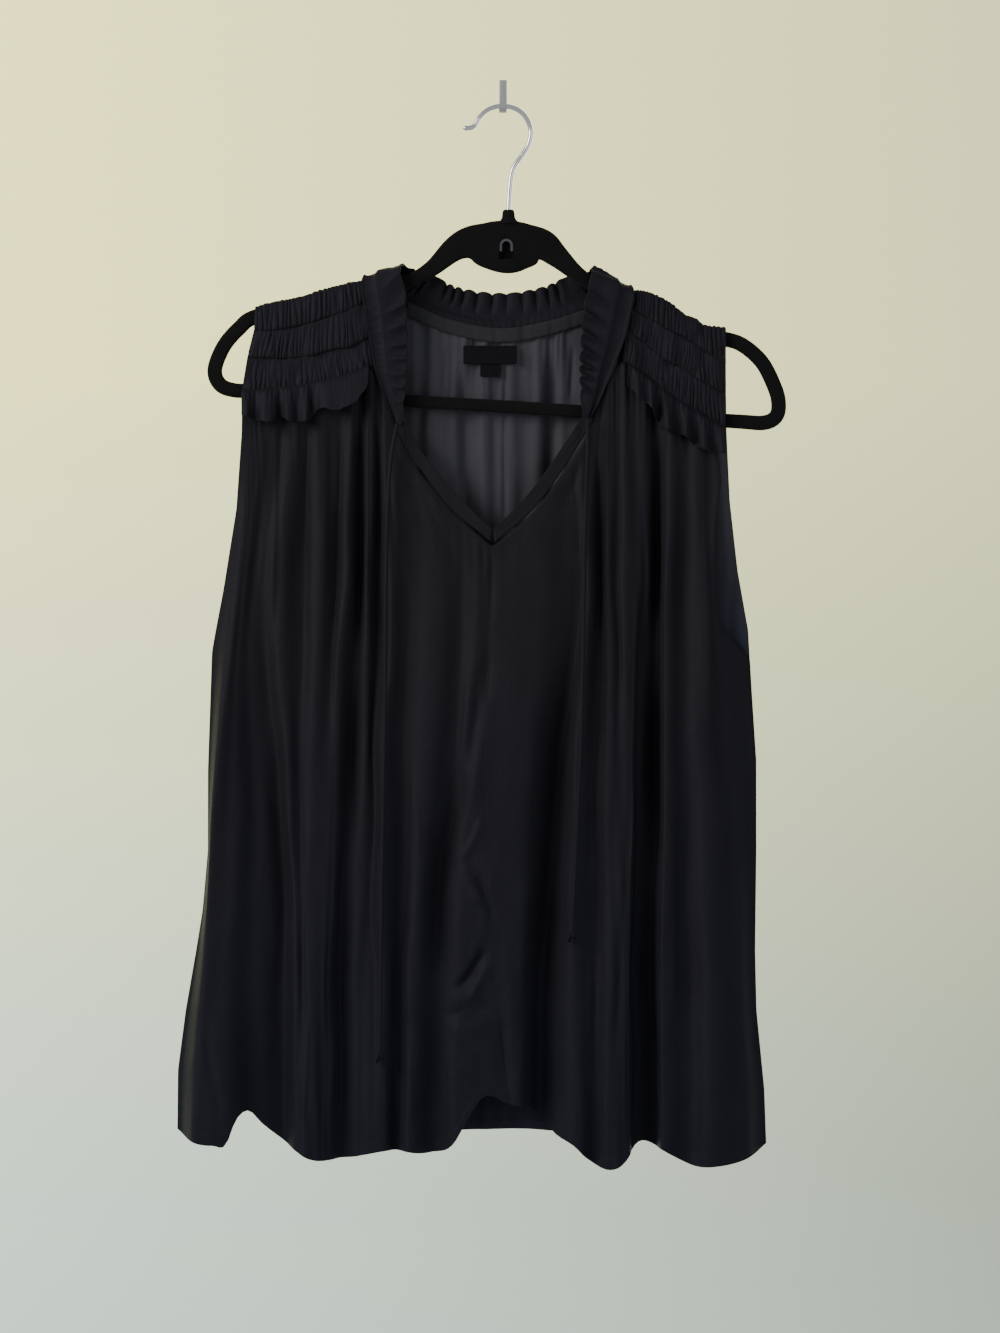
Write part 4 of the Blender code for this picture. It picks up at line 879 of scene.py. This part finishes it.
def yoke_height(foot, across, tier, seed, crumple):
    """Height of the pleats, from the foot of a tier (0) to its top (1)."""
    seam = 0.9 * soft_noise(seed, across * 14, tier * 3.3) + 0.5 * soft_noise(seed + 1, across * 31, foot * 2)
    seam = seam + 1.1 * soft_noise(seed + 4, across * 5 + 3, foot * 1.4 + tier * 5.1) * foot
    turn = YOKE_PLEATS * across + 0.5 * (tier % 2) + 0.6 * seam
    pleat = pleated(turn, 0.6)
    bulk = smoothed(foot / 0.06) * (1 - 0.72 * smoothed((foot - 0.1) / 0.9))
    ends = inside_ends(across)
    uneven = 0.72 + 0.55 * soft_noise(seed + 2, across * 13 + 5, tier * 2.7 + foot * 1.6)
    fine = 0.35 * soft_noise(seed + 3, across * 55, foot * 4 + tier * 7)
    fine = fine + 0.8 * crumple * soft_noise(seed + 6, across * 9, foot * 2.2 + tier * 4)
    return bulk * (0.55 + PLEAT_RISE * pleat * uneven) * (0.3 + 0.7 * ends) + fine * smoothed(foot / 0.1)


def yoke_grid(stitching, side, seed, crumple):
    across = np.linspace(0, 1, YOKE_COLUMNS)
    crest = len(stitching) // 2
    rows, heights, sags = [], [], []
    for tier, (low, high) in enumerate(zip(stitching, stitching[1:])):
        for share in TIER_SHARES if tier < crest else [1 - s for s in TIER_SHARES[::-1]]:
            foot = share if tier < crest else 1 - share
            if tier in (crest - 1, crest):
                foot = foot * CREST_SHARE
            rows.append(yoke_spot(low, high, share, across, tier, crest))
            heights.append(yoke_height(foot, across, tier if tier < crest else tier - 1, seed, crumple))
            sags.append(1.9 * math.exp(-(((foot - 0.05) / 0.06) ** 2)) * (foot > 0))
    grid, heights = np.array(rows), np.array(heights)
    grid = grid + grid_normals(grid) * side * (heights[..., None] - 0.35) * MM
    wavy = 0.7 + 0.4 * heights / heights.max() + 0.5 * crumple * soft_noise(seed + 9, across * 11, 0.5)
    uneven = soft_noise(seed + 10, across * 7 + 2, np.arange(len(rows))[:, None] / 14)
    grid[..., 2] += (0.7 * crumple * uneven - np.array(sags)[:, None] * wavy) * MM
    return grid


for name, stitching, side, seed, wide, crumple in (
    ("left", LEFT_YOKE, 1, 41, 0.15, 1.0), ("right", RIGHT_YOKE, -1, 53, 0.13, 1.9),
):
    grid = yoke_grid(stitching, side, seed, crumple)
    cloth(f"smocked_yoke_{name}", grid if side > 0 else grid[:, ::-1], [frill_satin],
          [f"yoke_{name}"], (wide, 0.125))

# %% [markdown]
# ## The frills
#
# The shoulder frill is a free ruffle: many small pleats leave its seam, and fewer, larger waves reach
# its edge. The neck frill has a casing along its seam, which the ties were drawn through, and stiff
# little pleats beyond it.

# %% Shoulder frills
# Free edges: x and drop. Waves: x and how far each stands out
LEFT_FRILL_EDGE = (
    (-202, 248), (-193.3, 251), (-184.3, 253.6), (-175.5, 253.4), (-173, 251), (-161.7, 254.2),
    (-153.8, 253.6), (-147, 251), (-142.6, 245.4), (-128, 245.4), (-121, 243), (-113, 238.4),
    (-107.7, 232), (-103, 224.5), (-99, 217),
)
RIGHT_FRILL_EDGE = (
    (88, 223), (92, 224.4), (100, 230), (107.7, 238), (114.6, 244.5), (119.2, 255.5), (130.5, 261.5),
    (140.7, 266), (147.4, 271.5), (156, 276), (172, 278.5),
)
LEFT_FRILL_WAVES = (
    (-203, 0), (-197, 2), (-190, -1.4), (-183, 2.4), (-176, 1.2), (-172, -2.2), (-165, 2.4), (-158, -0.6),
    (-151, 1.8), (-146, -1.6), (-139, 2.4), (-126, 3.6), (-112, 2.8), (-104, 0.8), (-98, -0.6),
)
RIGHT_FRILL_WAVES = (
    (86, 0), (92, 2), (98, -1.4), (104, 2.4), (110, 0.2), (115, 2), (119, -2.4), (126, 2.8), (134, -1.4),
    (141, 2.4), (147, -1.8), (154, 2.6), (162, -1), (169, 2), (173, 0.5),
)
FRILL_INSET, FRILL_LIFT = 4.0, 3.0
FRILL_SEAM_OUT = 23.2
FRILL_PLEATS, FRILL_ROWS, FRILL_COLUMNS = 24, 20, 260


def shoulder_frill(line, free, waves, seed, smooth_beyond):
    """The ruffle under a line of stitching; its pleats are faint to the right of smooth_beyond."""
    across = np.linspace(0, 1 - FRILL_INSET / abs(line.neck_x - line.arm_x), FRILL_COLUMNS)
    if line.arm_x > line.neck_x:
        across = across[::-1]
    xs, seam = along_line(line, across)
    seam = seam - FRILL_LIFT
    hem, wave = eased(xs, *np.transpose(free)), eased(xs, *np.transpose(waves))
    turns = np.linspace(0, 1, len(xs))
    pleats = FRILL_PLEATS * (turns + 0.018 * soft_noise(seed + 1, turns * 25, 2.0))
    fine = (pleated(pleats) - 0.6) * (1 - 0.75 * smoothed((xs - smooth_beyond) / 6))
    rows = []
    for share in np.linspace(0, 1, FRILL_ROWS):
        lift = 2.0 * wave * share**0.8 + 1.3 * fine * (1 - share) ** 2 * smoothed(share * 6)
        roll = 0.35 * smoothed((share - 0.94) / 0.05)
        swing = 0.7 * soft_noise(seed, turns * 30, share * 1.5) * share
        ragged = hem + 0.5 * soft_noise(seed + 2, turns * 40, 1.0) * share**2
        out = FRILL_SEAM_OUT + 3.8 * smoothed(share / 0.16) + 4.2 * share + lift + roll
        rows.append(place(xs + swing, out, seam + (ragged - seam) * share))
    return np.array(rows)


for name, line, free, waves, seed, smooth_beyond, cut in (
    ("left", LEFT_YOKE[0], LEFT_FRILL_EDGE, LEFT_FRILL_WAVES, 61, -150, (0.14, 0.028)),
    ("right", RIGHT_YOKE[0], RIGHT_FRILL_EDGE, RIGHT_FRILL_WAVES, 67, math.inf, (0.105, 0.024)),
):
    grid = shoulder_frill(line, free, waves, seed, smooth_beyond)
    cloth(f"shoulder_ruffle_{name}", grid, [frill_satin], [f"shoulder_frill_{name}"], cut)

# %% Neck frill
# Sections round the neck: x, drop and out at the seam, then at the free edge
NECK_FRILL = (
    (-84, 254, 26.6, -78, 257, 27.6), (-91, 235, 26.6, -76, 236, 28.5), (-99, 212, 26.6, -74, 211, 28.5),
    (-103, 190, 26.6, -74, 184, 28), (-107, 166, 26.6, -75, 155, 27.5), (-109.5, 148, 24.8, -79, 135, 25),
    (-107, 139.8, 16.5, -77, 131, 16), (-102, 154, 7.2, -73, 134, 7), (-92, 165, 7.2, -61, 137, 5),
    (-65, 171, 7.4, -52, 141, 4.8), (-41, 179, 7.4, -37, 149, 4.6), (-2, 186, 7.4, -2, 154, 4.5),
    (36, 180, 7.4, 32, 149, 4.6), (63, 172, 7.4, 50, 141, 4.8), (86, 167, 7.2, 61, 138, 5),
    (95, 160, 7.2, 66, 137, 7), (99, 147.8, 16.5, 69, 134, 16), (101, 154, 24.8, 69, 137, 25),
    (98, 172, 26.6, 64, 157, 27.5), (92, 195, 26.6, 61, 184, 28), (83, 216, 26.6, 60, 210, 28.5),
    (76, 234, 26.6, 60, 234, 28.5), (68, 249, 26.6, 61, 250, 27.6),
)
NECK_PLEATS = 36
NECK_PLEAT_RISE = 4.6
CASING = 0.36


def neck_frill():
    sections = np.array(NECK_FRILL, float)
    run = run_along(sections[:, :3])
    at = np.linspace(0, run[-1], 15 * NECK_PLEATS + 1)
    spots = eased(at, run, sections)
    seam, free = place(spots[:, 0], spots[:, 2], spots[:, 1]), place(spots[:, 3], spots[:, 5], spots[:, 4])
    shares = np.concatenate([np.linspace(0, CASING, 9), np.linspace(CASING + 0.03, 1, 18)])
    rows = seam + (free - seam) * shares[:, None, None]
    turns = at / run[-1]
    ends = inside_ends(turns)
    warp = NECK_PLEATS * turns + 1.1 * soft_noise(71, turns * 22, 0.3)
    size = 0.8 + 0.6 * soft_noise(72, turns * 26, 1.2) + 0.4 * smoothed((turns - 0.76) / 0.06)
    toward = (free - seam) / np.linalg.norm(free - seam, axis=1)[:, None]
    for row, normal, share in zip(rows, grid_normals(rows), shares):
        beyond = smoothed((share - CASING) / 0.5)
        turn = warp + 0.22 * soft_noise(74, turns * 12, share * 2)
        pleat = (pleated(turn) - 0.55) * size * ends
        in_casing = 1.9 * np.sin(math.pi * min(share / CASING, 1.0)) ** 0.5 * (share < CASING)
        tight = 0.4 * (pleated(2 * turn) - 0.5) * (share < CASING)
        fine = 0.3 * soft_noise(73, turns * 60, share * 3) * smoothed(share / 0.1)
        height = in_casing + tight * ends + NECK_PLEAT_RISE * pleat * beyond + fine
        row += (normal * height[:, None] + toward * (1.6 * pleat * share**2)[:, None]) * MM
    return rows


cloth("neck_ruffle", neck_frill(), [frill_satin], ["neck_frill"], (0.62, 0.026))

# %% [markdown]
# The V is bound with a narrow band, turned under and pressed, so its outer edge is a fine ridge. The
# back neck has a bias tape over its seam, and the bare label is sewn under it by its ends.

# %% Bands, tape and labels
# Sections down the V: x and drop of the band's outer edge, then of its inner edge
LEFT_BAND = (
    (-82, 253, -79.5, 251.5), (-79.5, 259.5, -74, 256.5), (-71, 278, -63.5, 274.5), (-62, 292, -54, 288),
    (-52, 305, -43, 301), (-38, 322, -29, 316.5), (-9.2, 346, -8.6, 336),
)
RIGHT_BAND = (
    (70, 251, 62.5, 246.5), (65, 260, 57, 255.5), (54, 278, 45.5, 273), (43, 295, 34, 290),
    (31, 311.5, 22, 306), (20, 324, 11.5, 318), (-6.8, 347, -7.4, 336.5),
)
# Sections of the tape: x, upper drop and lower drop
NECK_TAPE = ((-74, 160.5, 171.5), (-41, 174, 185), (-2, 181, 192), (36, 175, 186), (66, 165.5, 176.5))
BAND_ROWS, TAPE_ROWS = 15, 9
TAPE_OUT, LABEL_OUT = 1.6, 2.0


def evened(values, reach):
    """Each value as the mean of those around it."""
    count = 2 * reach + 1
    return np.convolve(np.pad(values, reach, mode="edge"), np.ones(count) / count, mode="valid")


def before_back(x, drop, reach):
    """The furthest that the back panel stands out within a reach to either side."""
    return np.max([back.out_at(x + nudge, drop) for nudge in (-reach, 0, reach)], axis=0)


def band_grid(lines, panel):
    x, drop, inner_x, inner_drop = smooth_route(lines, 3.0).T
    out = evened(panel.out_at(x, drop), 4) + 0.4
    grid = []
    for share in np.linspace(0, 1, BAND_ROWS):
        ridge = 0.45 * math.exp(-(((share - 0.14) / 0.06) ** 2)) + 0.15 * math.sin(math.pi * share)
        wobble = 0.5 * soft_noise(83, drop / 9, share * 3 + x / 40 + 5)
        middle = out + 0.4 * share + ridge + wobble * share
        grid.append(place(x + (inner_x - x) * share, middle, drop + (inner_drop - drop) * share))
    return np.array(grid)


def tape_grid():
    x, upper, lower = smooth_route(NECK_TAPE, 2.0).T
    grid = []
    for share in np.linspace(0, 1, TAPE_ROWS):
        level = upper + (lower - upper) * share
        puff = 0.5 * math.sin(math.pi * share) ** 0.6 + 0.12 * soft_noise(91, x / 6 + 40, share * 2)
        grid.append(place(x, before_back(x, np.maximum(level, BACK_LEVELS[0]), 5) + TAPE_OUT + puff, level))
    return np.array(grid)


def label_grid(x, drop, wide, tall, sag):
    """A small flat label that follows the gathers behind it a little."""
    xs, drops = np.meshgrid(np.linspace(x - wide / 2, x + wide / 2, 42), np.linspace(drop, drop + tall, 16))
    behind = evened(before_back(xs[0], drops[:, 0].mean(), 6), 6)
    lift = sag * ((drops - drop) / tall) ** 2 + 0.15 * soft_noise(97, xs / 8 + 40, drops / 6)
    edge = np.minimum.reduce([xs - xs.min(), xs.max() - xs, drops - drop, drop + tall - drops])
    return place(xs, behind + LABEL_OUT + lift + 0.25 * (1 - smoothed(edge / 0.9)), drops)


left_band, right_band = band_grid(LEFT_BAND, front_left)[::-1], band_grid(RIGHT_BAND, front_right)
label, size_tab = label_grid(-10.0, 194.5, 41.0, 14.0, 0.6), label_grid(-10.0, 209.2, 15.0, 9.0, 0.4)
for name, grid, finish, slot, node, cut in (
    ("v_binding_left", left_band, black_satin, "satin", "neck_band_left", (0.115, 0.011)),
    ("v_binding_right", right_band, black_satin, "satin", "neck_band_right", (0.118, 0.011)),
    ("bias_tape", tape_grid(), neck_tape, "tape", "back_neck_tape", (0.146, 0.010)),
    ("bare_label", label, label_weave, "label", "label", (0.041, 0.014)),
    ("bare_size_tab", size_tab, label_weave, "label", "size_tab", (0.015, 0.01)),
):
    cloth(name, grid, [finish], [node], cut)

# %% [markdown]
# ## The hanger
#
# The hanger is one plastic moulding, swept round a closed loop: a broad bridge under the hook, thin arms
# over the shoulders and a bar across. Its edges are well rounded, since flock can't cover a sharp one.
# The collar is joined to it and the little window cut with Boolean modifiers.

# %% Hanger frame
# Stations round the loop: x, drop and half of the bar's width
HANGER_FRAME = (
    (4, 118.5, 20.5), (-12, 117, 18), (-26, 115.5, 12.8), (-38, 120.5, 9.6), (-54, 134.5, 6.5),
    (-68, 143, 5.4), (-83, 148, 5.2), (-118, 156, 5.4), (-156, 164.5, 5.6), (-191, 172.5, 5.7),
    (-203, 181, 5.7), (-215, 195, 5.7), (-222, 213, 5.7), (-218, 224.5, 5.7), (-207, 229, 5.6),
    (-187, 230, 5.4), (-95, 236, 4.9), (0, 241.5, 4.9), (95, 247.5, 4.9), (180, 253, 5.5), (201, 254, 5.7),
    (210.5, 249, 5.7), (212.3, 238.5, 5.7), (209, 226, 5.7), (199.5, 207.5, 5.7), (185, 194.5, 5.7),
    (172, 189.8, 5.7), (158, 188.4, 5.7), (140, 181, 5.5), (113, 168.5, 5.4), (86, 158, 5.2),
    (68, 147, 5.4), (55, 137.5, 6.3), (41, 125, 9.2), (31, 117.5, 12.4), (18, 117.5, 17.5),
)
HANGER_OUT = 16.0
HALF_DEPTH = 3.0
CORNER_ROUND = 2.2
HANGER_STEP = 2.4
# The collar's profile: drop and radius
COLLAR = (
    (89.6, 0), (89.9, 3.4), (90.8, 4.3), (93.5, 4.8), (96.2, 5.1), (98.2, 6.4), (100, 9.2), (100.8, 0),
)
COLLAR_DEPTH, COLLAR_SIDES = 0.62, 28
WINDOW_X, WINDOW_HALF, WINDOW_TOP, WINDOW_FOOT, WINDOW_FLOOR = 2.5, 5.5, 112.0, 128.0, 1.4
HOOK_FOOT_X = 4.2


def skin(name, rings, closed=False, capped=False):
    """A mesh over rings of points, closed to a loop or capped; a ring of one point ends it in a fan."""
    shape = bmesh.new()
    rings = [[shape.verts.new(point) for point in ring] for ring in rings]
    for ring, following in zip(rings, rings[1:] + rings[:1] * closed):
        for m in range(max(len(ring), len(following))):
            corners = [(ring, m), (ring, m + 1), (following, m + 1), (following, m)]
            shape.faces.new(tuple(dict.fromkeys(spots[n % len(spots)] for spots, n in corners)))
    if capped:
        shape.faces.new(rings[0][::-1])
        shape.faces.new(rings[-1])
    bmesh.ops.recalc_face_normals(shape, faces=shape.faces)
    mesh = bpy.data.meshes.new(name)
    shape.to_mesh(mesh)
    shape.free()
    return mesh


def closed_stations():
    """Stations round the hanger's loop, once round."""
    wrapped = np.array([*HANGER_FRAME[-2:], *HANGER_FRAME, *HANGER_FRAME[:3]], float)
    fine = smooth_route(wrapped, HANGER_STEP)
    near = np.linalg.norm(fine - wrapped[2], axis=1)
    half = len(fine) // 2
    return fine[int(np.argmin(near[:half])): half + int(np.argmin(near[half:]))]


def rounded_section(half_width):
    """A flat bar's section with round corners, as offsets across and out."""
    spots = []
    for quarter, (across, deep) in enumerate(((1, 1), (-1, 1), (-1, -1), (1, -1))):
        for turn in np.linspace(0, math.pi / 2, 5):
            angle = turn + quarter * math.pi / 2
            spots.append((across * (half_width - CORNER_ROUND) + CORNER_ROUND * math.cos(angle),
                          deep * (HALF_DEPTH - CORNER_ROUND) + CORNER_ROUND * math.sin(angle)))
    return spots


def swept_hanger():
    stations = closed_stations()
    along = (np.roll(stations, -1, axis=0) - np.roll(stations, 1, axis=0))[:, :2]
    along /= np.linalg.norm(along, axis=1)[:, None]
    rings = []
    for (x, drop, half_width), (step_x, step_drop) in zip(stations, along):
        across, deep = np.transpose(rounded_section(half_width))
        rings.append(place(x + step_drop * across, HANGER_OUT + deep, drop - step_x * across))
    return skin("flocked_hanger", rings, closed=True)


def collar():
    """The turned collar, a little flat from front to back, with a point at each end."""
    rings = []
    for drop, radius in COLLAR:
        angles = np.linspace(0, 2 * math.pi, COLLAR_SIDES if radius else 1, endpoint=False)
        reach = radius * np.cos(angles), radius * COLLAR_DEPTH * np.sin(angles)
        rings.append(place(HOOK_FOOT_X + reach[0], HANGER_OUT + reach[1], drop))
    return skin("collar", rings)


def window():
    """An arched block from the window's floor to before the bridge."""
    angles = np.linspace(math.pi, 0, 17)
    xs = [-WINDOW_HALF, *WINDOW_HALF * np.cos(angles), WINDOW_HALF]
    drops = [WINDOW_FOOT, *WINDOW_TOP + WINDOW_HALF * (1 - np.sin(angles)), WINDOW_FOOT]
    outs = (HANGER_OUT - HALF_DEPTH + WINDOW_FLOOR, HANGER_OUT + 2 * HALF_DEPTH)
    return skin("window", [place(WINDOW_X + np.array(xs), out, drops) for out in outs], capped=True)


def joined(piece, mesh, operation):
    """Adds or cuts a shape with a Boolean that is applied, so that no helper is left."""
    other = new_object("helper", mesh)
    step = piece.modifiers.new("join", "BOOLEAN")
    step.operation, step.object = operation, other
    bpy.context.view_layer.update()
    made = bpy.data.meshes.new_from_object(piece.evaluated_get(bpy.context.evaluated_depsgraph_get()))
    piece.modifiers.clear()
    piece.data = made
    bpy.data.objects.remove(other)


def softened(piece, width, segments, angle):
    """Rounds the edges that turn by more than an angle in degrees."""
    edges = piece.modifiers.new("edges", "BEVEL")
    edges.width, edges.segments, edges.angle_limit = width * MM, segments, math.radians(angle)


hanger = new_object("flocked_hanger", swept_hanger())
joined(hanger, collar(), "UNION")
joined(hanger, window(), "DIFFERENCE")
softened(hanger, 0.5, 2, 50)
hanger.data.shade_smooth()
dressed(hanger, [black_flock], ["hanger"])
print("the hanger has", len(hanger.data.polygons), "faces")

# %% [markdown]
# The hook is one bent wire with its end rounded over. It stands in the collar, and its bend lies in a
# strap hook that is bent from flat steel. The little arch in the hanger's window is the bush that the
# wire turns in: its solid already has the right shape, so it only gets its finish and softer edges.

# %% Hook, bush and wall hook
HOOK_ROUTE = (
    (-31, 27.2), (-23, 26), (-18, 18.6), (-11, 12.6), (-1, 10), (10, 12.3), (17.7, 19), (21.4, 29.5),
    (19.6, 39.5), (14.5, 48), (9.2, 55.5), (6.7, 61.5), (5.5, 70), (4.7, 80), (HOOK_FOOT_X, 91.2),
)
HOOK_WIRE, WIRE_SIDES, TIP_LONG = 3.7, 20, 2.0
STRAP_ROUTE = (
    (0.75, -11.5), (0.75, 0), (0.75, 8), (1.8, 11.3), (4.8, 13.2), (9, 13.9), (14, 14), (18, 12.8),
    (20.1, 9.6), (20.6, 5), (20.8, 0.8),
)
STRAP_HALF_WIDTH, STRAP_THICK = 3.0, 1.5


def wire_hook():
    """The hook's wire as a mesh: rings along its route, smaller at the tip to round it over."""
    route = smooth_route(HOOK_ROUTE, 1.2)
    along = np.gradient(route, axis=0)
    along /= np.linalg.norm(along, axis=1)[:, None]
    to_tip = 1 - np.clip(run_along(route) / TIP_LONG, 0, 1)
    radius = HOOK_WIRE / 2 * np.sqrt(np.clip(1 - to_tip**2, 0.02, 1))
    angles = np.linspace(0, 2 * math.pi, WIRE_SIDES, endpoint=False)
    rings = []
    for (x, drop), (step_x, step_drop), r in zip(route, along, radius):
        across = r * np.cos(angles)
        rings.append(place(x - step_drop * across, HANGER_OUT + r * np.sin(angles), drop + step_x * across))
    mesh = skin("chrome_hook", rings, capped=True)
    mesh.shade_smooth()
    return mesh


def strap_hook():
    """The strap as a flat strip of quads with a Solidify for its thickness."""
    points = smooth_route(STRAP_ROUTE, 0.8)
    straight = (points[:, 0] < 2) & (points[:, 1] < 8)
    points[straight, 0] = STRAP_THICK / 2
    grid = np.stack([place(x, *points.T) for x in (-STRAP_HALF_WIDTH, STRAP_HALF_WIDTH)], axis=1)
    made = new_object("strap_hook", grid_mesh("strap_hook", grid))
    shell = made.modifiers.new("shell", "SOLIDIFY")
    shell.thickness, shell.offset = STRAP_THICK * MM, 0.0
    softened(made, 0.3, 3, 50)
    return made


dressed(new_object("chrome_hook", wire_hook()), [chrome], ["hanger_hook"])
dressed(strap_hook(), [strap_steel], ["wall_hook"])
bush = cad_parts["swivel_bush"]
bush.data.materials.clear()
bush.data.materials.append(shaded_chrome)
softened(bush, 0.35, 3, 30)
print("the hook's wire is", round(run_along(smooth_route(HOOK_ROUTE, 1.0))[-1] / 10, 1), "cm long")

# %% [markdown]
# ## Stitching
#
# The hem and the armholes are turned and sewn. Each stitch is a short spindle of thread that lies on
# the cloth, a little sunk at its ends.

# %% Stitches
STITCH_LONG, STITCH_PITCH, STITCH_HALF = 2.0, 2.8, 0.10
# Rings of a spindle: share of its length, lift and width
SPINDLE = ((0.0, 0.15, 0.35), (0.2, 0.55, 1.0), (0.8, 0.55, 1.0), (1.0, 0.15, 0.35))
HEM_STITCH_ROW = -len(HEM_ROWS) + 5


def stitches(name, lines):
    """Joined spindles along lines of points and normals, in metres."""
    spots, faces = [], []
    for points, normals in lines:
        run = run_along(points) / MM
        for start in np.arange(1.0, run[-1] - STITCH_LONG, STITCH_PITCH):
            at = np.clip([start + STITCH_LONG * share for share, _, _ in SPINDLE], 0, run[-1])
            path = np.stack([np.interp(at, run, points[:, k]) for k in range(3)], axis=-1)
            up = np.array([np.interp(start, run, normals[:, k]) for k in range(3)])
            side = np.cross(path[-1] - path[0], up)
            side /= max(np.linalg.norm(side), 1e-12)
            first = len(spots)
            for spot, (_, lift, half) in zip(path, SPINDLE):
                middle = spot + up * lift * STITCH_HALF * 2 * MM
                spots += [middle + reach * half * STITCH_HALF * MM for reach in (side, up, -side, -up)]
            for low in range(first, first + 12, 4):
                turns = [(a, (a + 1) % 4) for a in range(4)]
                faces += [(low + a, low + b, low + 4 + b, low + 4 + a) for a, b in turns]
            faces += [(first + 3, first + 2, first + 1, first), tuple(range(first + 12, first + 16))]
    mesh = bpy.data.meshes.new(name)
    mesh.from_pydata(np.array(spots).tolist(), [], faces)
    mesh.shade_smooth()
    dressed(new_object(name, mesh), [thread])
    print(name, len(faces) // 14, "stitches")


def line_on(grid, row=None, column=None, side=1.0):
    """A row or column of a grid of points, with the normals that its thread lies along."""
    normals = grid_normals(grid) * side
    line = (slice(None), column) if row is None else row
    return grid[line] + normals[line] * CLOTH_THICK / 2 * MM, normals[line]


for name, grid in panels.items():
    facing = -1.0 if name == "back" else 1.0
    stitches(f"hem_stitches_{name}", [line_on(grid, row=HEM_STITCH_ROW, side=facing)])
stitches("armhole_stitches", [
    line_on(panels["front_left"][:60], column=3), line_on(panels["front_right"][:52], column=-4),
])

# %% [markdown]
# ## Light and floor
#
# The photograph's light is a broad window to the left and above in a pale room, so soft reflections
# model the black cloth more than shadow does. One large soft light stands to the left and above, a
# weaker one to the right, and a third behind, for views of the back. The room is a bowl: a floor that
# curves up into a wall, so that no horizon shows. The bowl glows, so it lights the blouse too, and its
# glow is painted light: warm and bright at the upper left, as the window's light would fall on a wall.

# %% Light, floor and surroundings
FLOOR_DROP = 1500.0
# The bowl's profile from its middle: reach and rise
ROOM_PROFILE = (
    (5500, 0), (6900, 60), (7900, 380), (8600, 1000), (8950, 1900), (9000, 3000), (9000, 9000),
)
ROOM_SIDES = 96
ROOM_FADE = 1200.0
# Painted light: the room's glow is brightest and warmest at the upper left behind the blouse and dimmest at
# the lower right; the rest of the room glows evenly.
WARM_HIGH, WARM_LOW = (2.20, 2.10, 0.88), (1.28, 1.30, 0.68)
COOL_HIGH, COOL_LOW = (1.02, 1.32, 1.20), (0.43, 0.51, 0.43)
REST_OF_ROOM = (0.66, 0.67, 0.70)
SKY, SKY_STRENGTH = (0.86, 0.9, 1.0), 0.6
LIGHT_AIM = (0, 30, 480)
# Lights: name, x, out and drop, width, power in watts, and colour
LIGHTS = (
    ("window_light", (-1900, 1300, -500), 1300, 70, (1.0, 0.97, 0.94)),
    ("fill_light", (1800, 1500, 300), 1500, 14, (0.92, 0.95, 1.0)),
    ("back_light", (900, -2100, 100), 1400, 40, (1.0, 0.99, 1.0)),
)


def soft_light(name, spot, wide, power, colour):
    """A square area light aimed at the middle of the blouse."""
    data = bpy.data.lights.new(name, "AREA")
    data.shape, data.size, data.energy, data.color = "SQUARE", wide * MM, power, colour
    made = new_object(name, data)
    made.location = place(*spot)
    made.rotation_euler = (Vector(place(*LIGHT_AIM)) - made.location).to_track_quat("-Z", "Y").to_euler()


def room_bowl():
    """The floor and wall, turned about the upright line through the wall hook."""
    angles = np.linspace(0, 2 * math.pi, ROOM_SIDES, endpoint=False)
    profile = [(1.0, 0.0), *smooth_route(ROOM_PROFILE, 250.0)]
    mesh = skin("pale_room", [
        place(reach * np.cos(angles), reach * np.sin(angles), FLOOR_DROP - rise) for reach, rise in profile
    ])
    mesh.shade_smooth()
    return new_object("pale_room", mesh)


def painted_room_light():
    """Painted light, a glow that changes by place: the shares are taken across, upward and towards the front.
    """
    made = Finish("painted_room_light")
    spot, (x, y, z) = made.place_in_cloth()
    cloud = made.noise(spot, 0.6)
    share = made.clamped(x * (500 / ROOM_FADE) + 0.5)
    rise = made.clamped((z + 1.6) * 0.55 + (cloud - 0.5) * 0.1)
    beside = made.clamped(x.size() * 0.8 - 1.2)
    above = made.clamped(z * 0.8 - 1.2)
    front = made.clamped(y * -0.5 + 2.0 + beside + above)
    high = made.mixed(share, WARM_HIGH, WARM_LOW)
    low = made.mixed(share, COOL_HIGH, COOL_LOW)
    made.material.cycles.emission_sampling = "NONE"
    return made.shade(
        Base_Color=(0.06, 0.06, 0.055), Roughness=0.9, Specular_IOR_Level=0.0,
        Emission_Color=made.mixed(front, made.mixed(rise, low, high), REST_OF_ROOM), Emission_Strength=0.95,
    )


world = bpy.data.worlds.new("pale_surroundings")
bpy.context.scene.world = world
world.use_nodes = True
surroundings = world.node_tree.nodes["Background"].inputs
surroundings["Color"].default_value, surroundings["Strength"].default_value = (*SKY, 1), SKY_STRENGTH
for light in LIGHTS:
    soft_light(*light)
room = room_bowl()
room.data.materials.append(painted_room_light())
print("lights:", [light[0] for light in LIGHTS])
